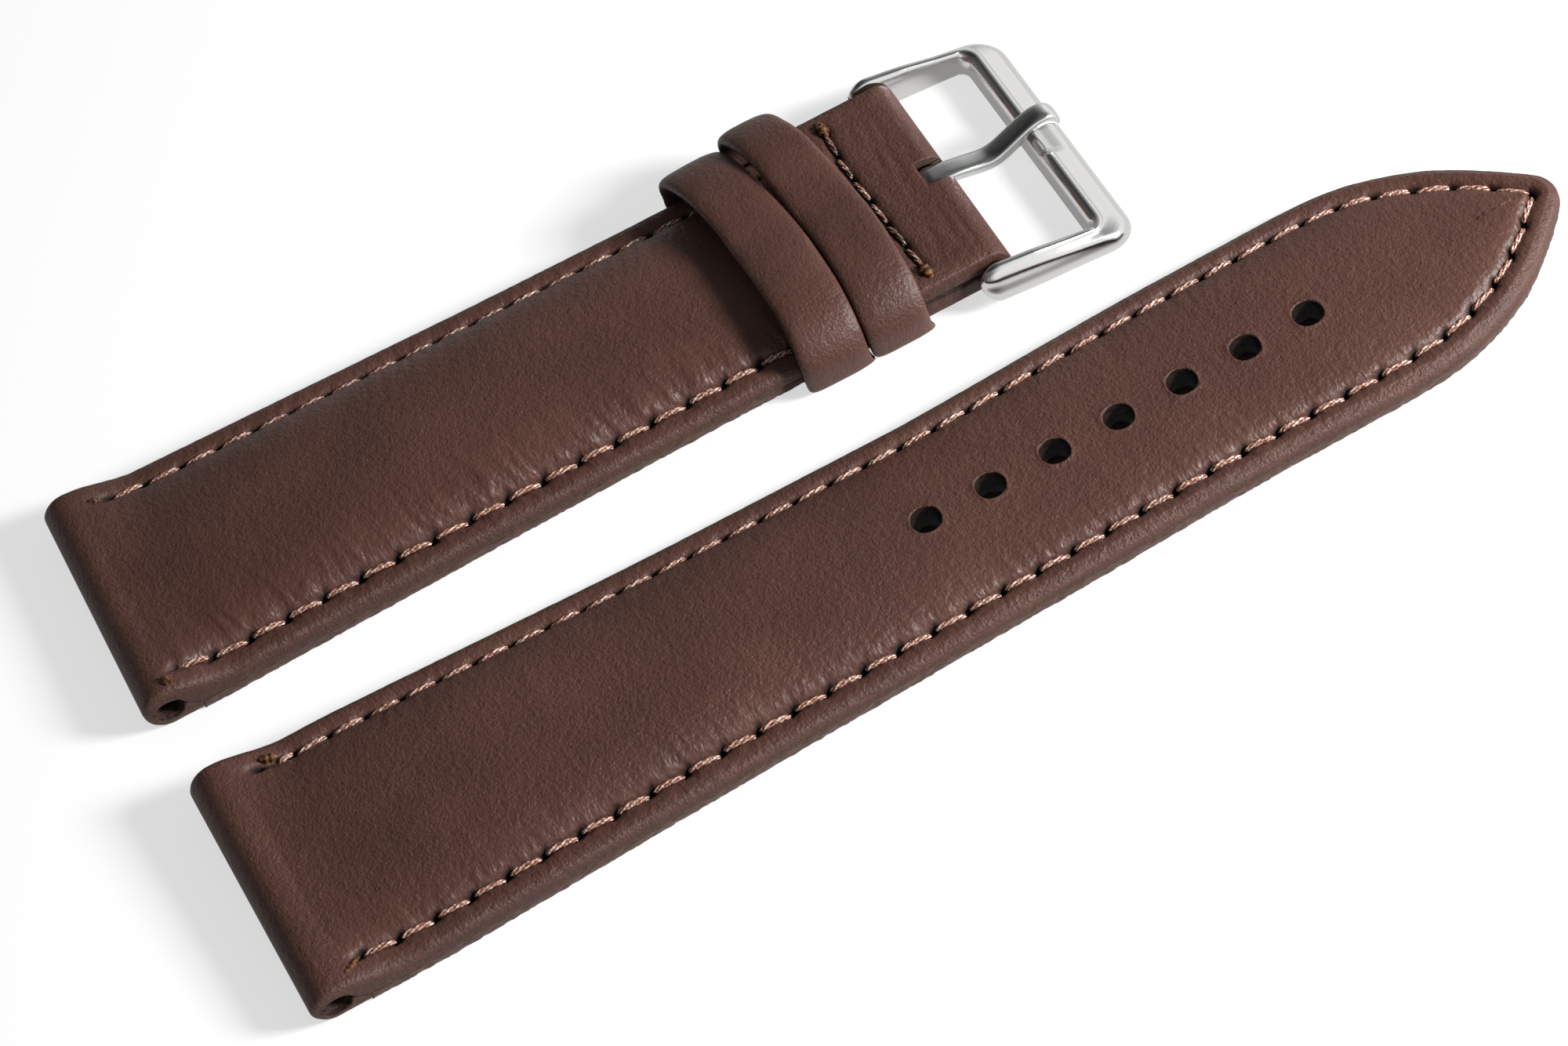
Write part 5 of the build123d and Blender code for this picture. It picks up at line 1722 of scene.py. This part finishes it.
def pale_floor():
    """A white table top: glowing to the camera and to mirrors, plain to all other rays."""
    material, tree = new_material("pale floor")
    diffuse = add(tree, "BsdfDiffuse", {"Color": colour("#c4c4c4")})
    path = add(tree, "LightPath")
    level = add(
        tree, "Math", {"operation": "MULTIPLY_ADD", 1: -GLOSSY_GLOW_LOSS, 2: FLOOR_GLOW},
        {0: path.outputs["Is Glossy Ray"]},
    )
    glow = add(tree, "Emission", {"Color": colour(WHITE)}, {"Strength": level.outputs[0]})
    lit = add(tree, "AddShader", links={0: diffuse.outputs[0], 1: glow.outputs[0]})
    seen = path.outputs["Is Camera Ray"]
    for ray in ("Is Glossy Ray", "Is Transmission Ray"):
        seen = add(tree, "Math", {"operation": "MAXIMUM"}, {0: seen, 1: path.outputs[ray]}).outputs[0]
    plain = add(tree, "BsdfDiffuse", {"Color": colour("#e0e0e0")})
    mix = add(tree, "MixShader", links={0: seen, 1: plain.outputs[0], 2: lit.outputs[0]})
    add(tree, "OutputMaterial", links={"Surface": mix.outputs[0]})
    mesh = bpy.data.meshes.new("floor")
    corners = [(FLOOR_HALF * x, FLOOR_HALF * y, 0) for x, y in ((-1, -1), (1, -1), (1, 1), (-1, 1))]
    mesh.from_pydata(corners, [], [(0, 1, 2, 3)])
    mesh.materials.append(material)
    floor = bpy.data.objects.new("floor", mesh)
    floor.location.z = cad_box[0][2] - FLOOR_GAP
    bpy.context.scene.collection.objects.link(floor)


def studio_room():
    """Plain white to the camera, a graded white sky to mirrors, a weak fill to the rest."""
    world = bpy.data.worlds.new("white room")
    bpy.context.scene.world = world
    world.use_nodes = True
    tree = world.node_tree
    tree.nodes.clear()
    look = add(tree, "TexCoord").outputs["Generated"]
    height = add(tree, "SeparateXYZ", links={0: look}).outputs["Z"]
    sky = add(
        tree, "ValToRGB", links={"Fac": height},
        stops=[(0.0, "#d8d8d8"), (0.12, WHITE), (0.4, WHITE), (0.62, "#b4b6b8"), (0.82, "#66686b")],
    )
    turn = add(tree, "VectorMath", {"operation": "DOT_PRODUCT", 1: BRIGHT_SIDE}, {0: look})
    swing = add(tree, "MapRange", {"From Min": -0.7, "From Max": 0.5}, {"Value": turn.outputs["Value"]})
    side = add(
        tree, "ValToRGB", links={"Fac": swing.outputs[0]},
        stops=[(0.0, "#565656"), (0.45, "#9a9a9a"), (0.8, WHITE)],
    )
    room = add(
        tree, "Mix", {"data_type": "RGBA", "blend_type": "MULTIPLY", 0: 1.0},
        {6: sky.outputs[0], 7: side.outputs[0]},
    )
    dim = add(tree, "Background", {"Color": colour(WHITE), "Strength": FILL_LEVEL})
    mirrored = add(tree, "Background", {"Strength": 1.0}, {"Color": room.outputs[2]})
    white = add(tree, "Background", {"Color": colour(WHITE), "Strength": 1.0})
    path = add(tree, "LightPath")
    seen = dim.outputs[0]
    for ray, sight in (("Is Glossy Ray", mirrored), ("Is Transmission Ray", white), ("Is Camera Ray", white)):
        seen = add(tree, "MixShader", links={0: path.outputs[ray], 1: seen, 2: sight.outputs[0]}).outputs[0]
    add(tree, "OutputWorld", links={"Surface": seen})


pale_floor()
studio_room()
softbox("softbox", KEY_DIRECTION, KEY_DISTANCE, KEY_SIZE, KEY_LEVEL)
bpy.context.scene.view_settings.view_transform = "Standard"
print("one softbox", KEY_DISTANCE, "m away")
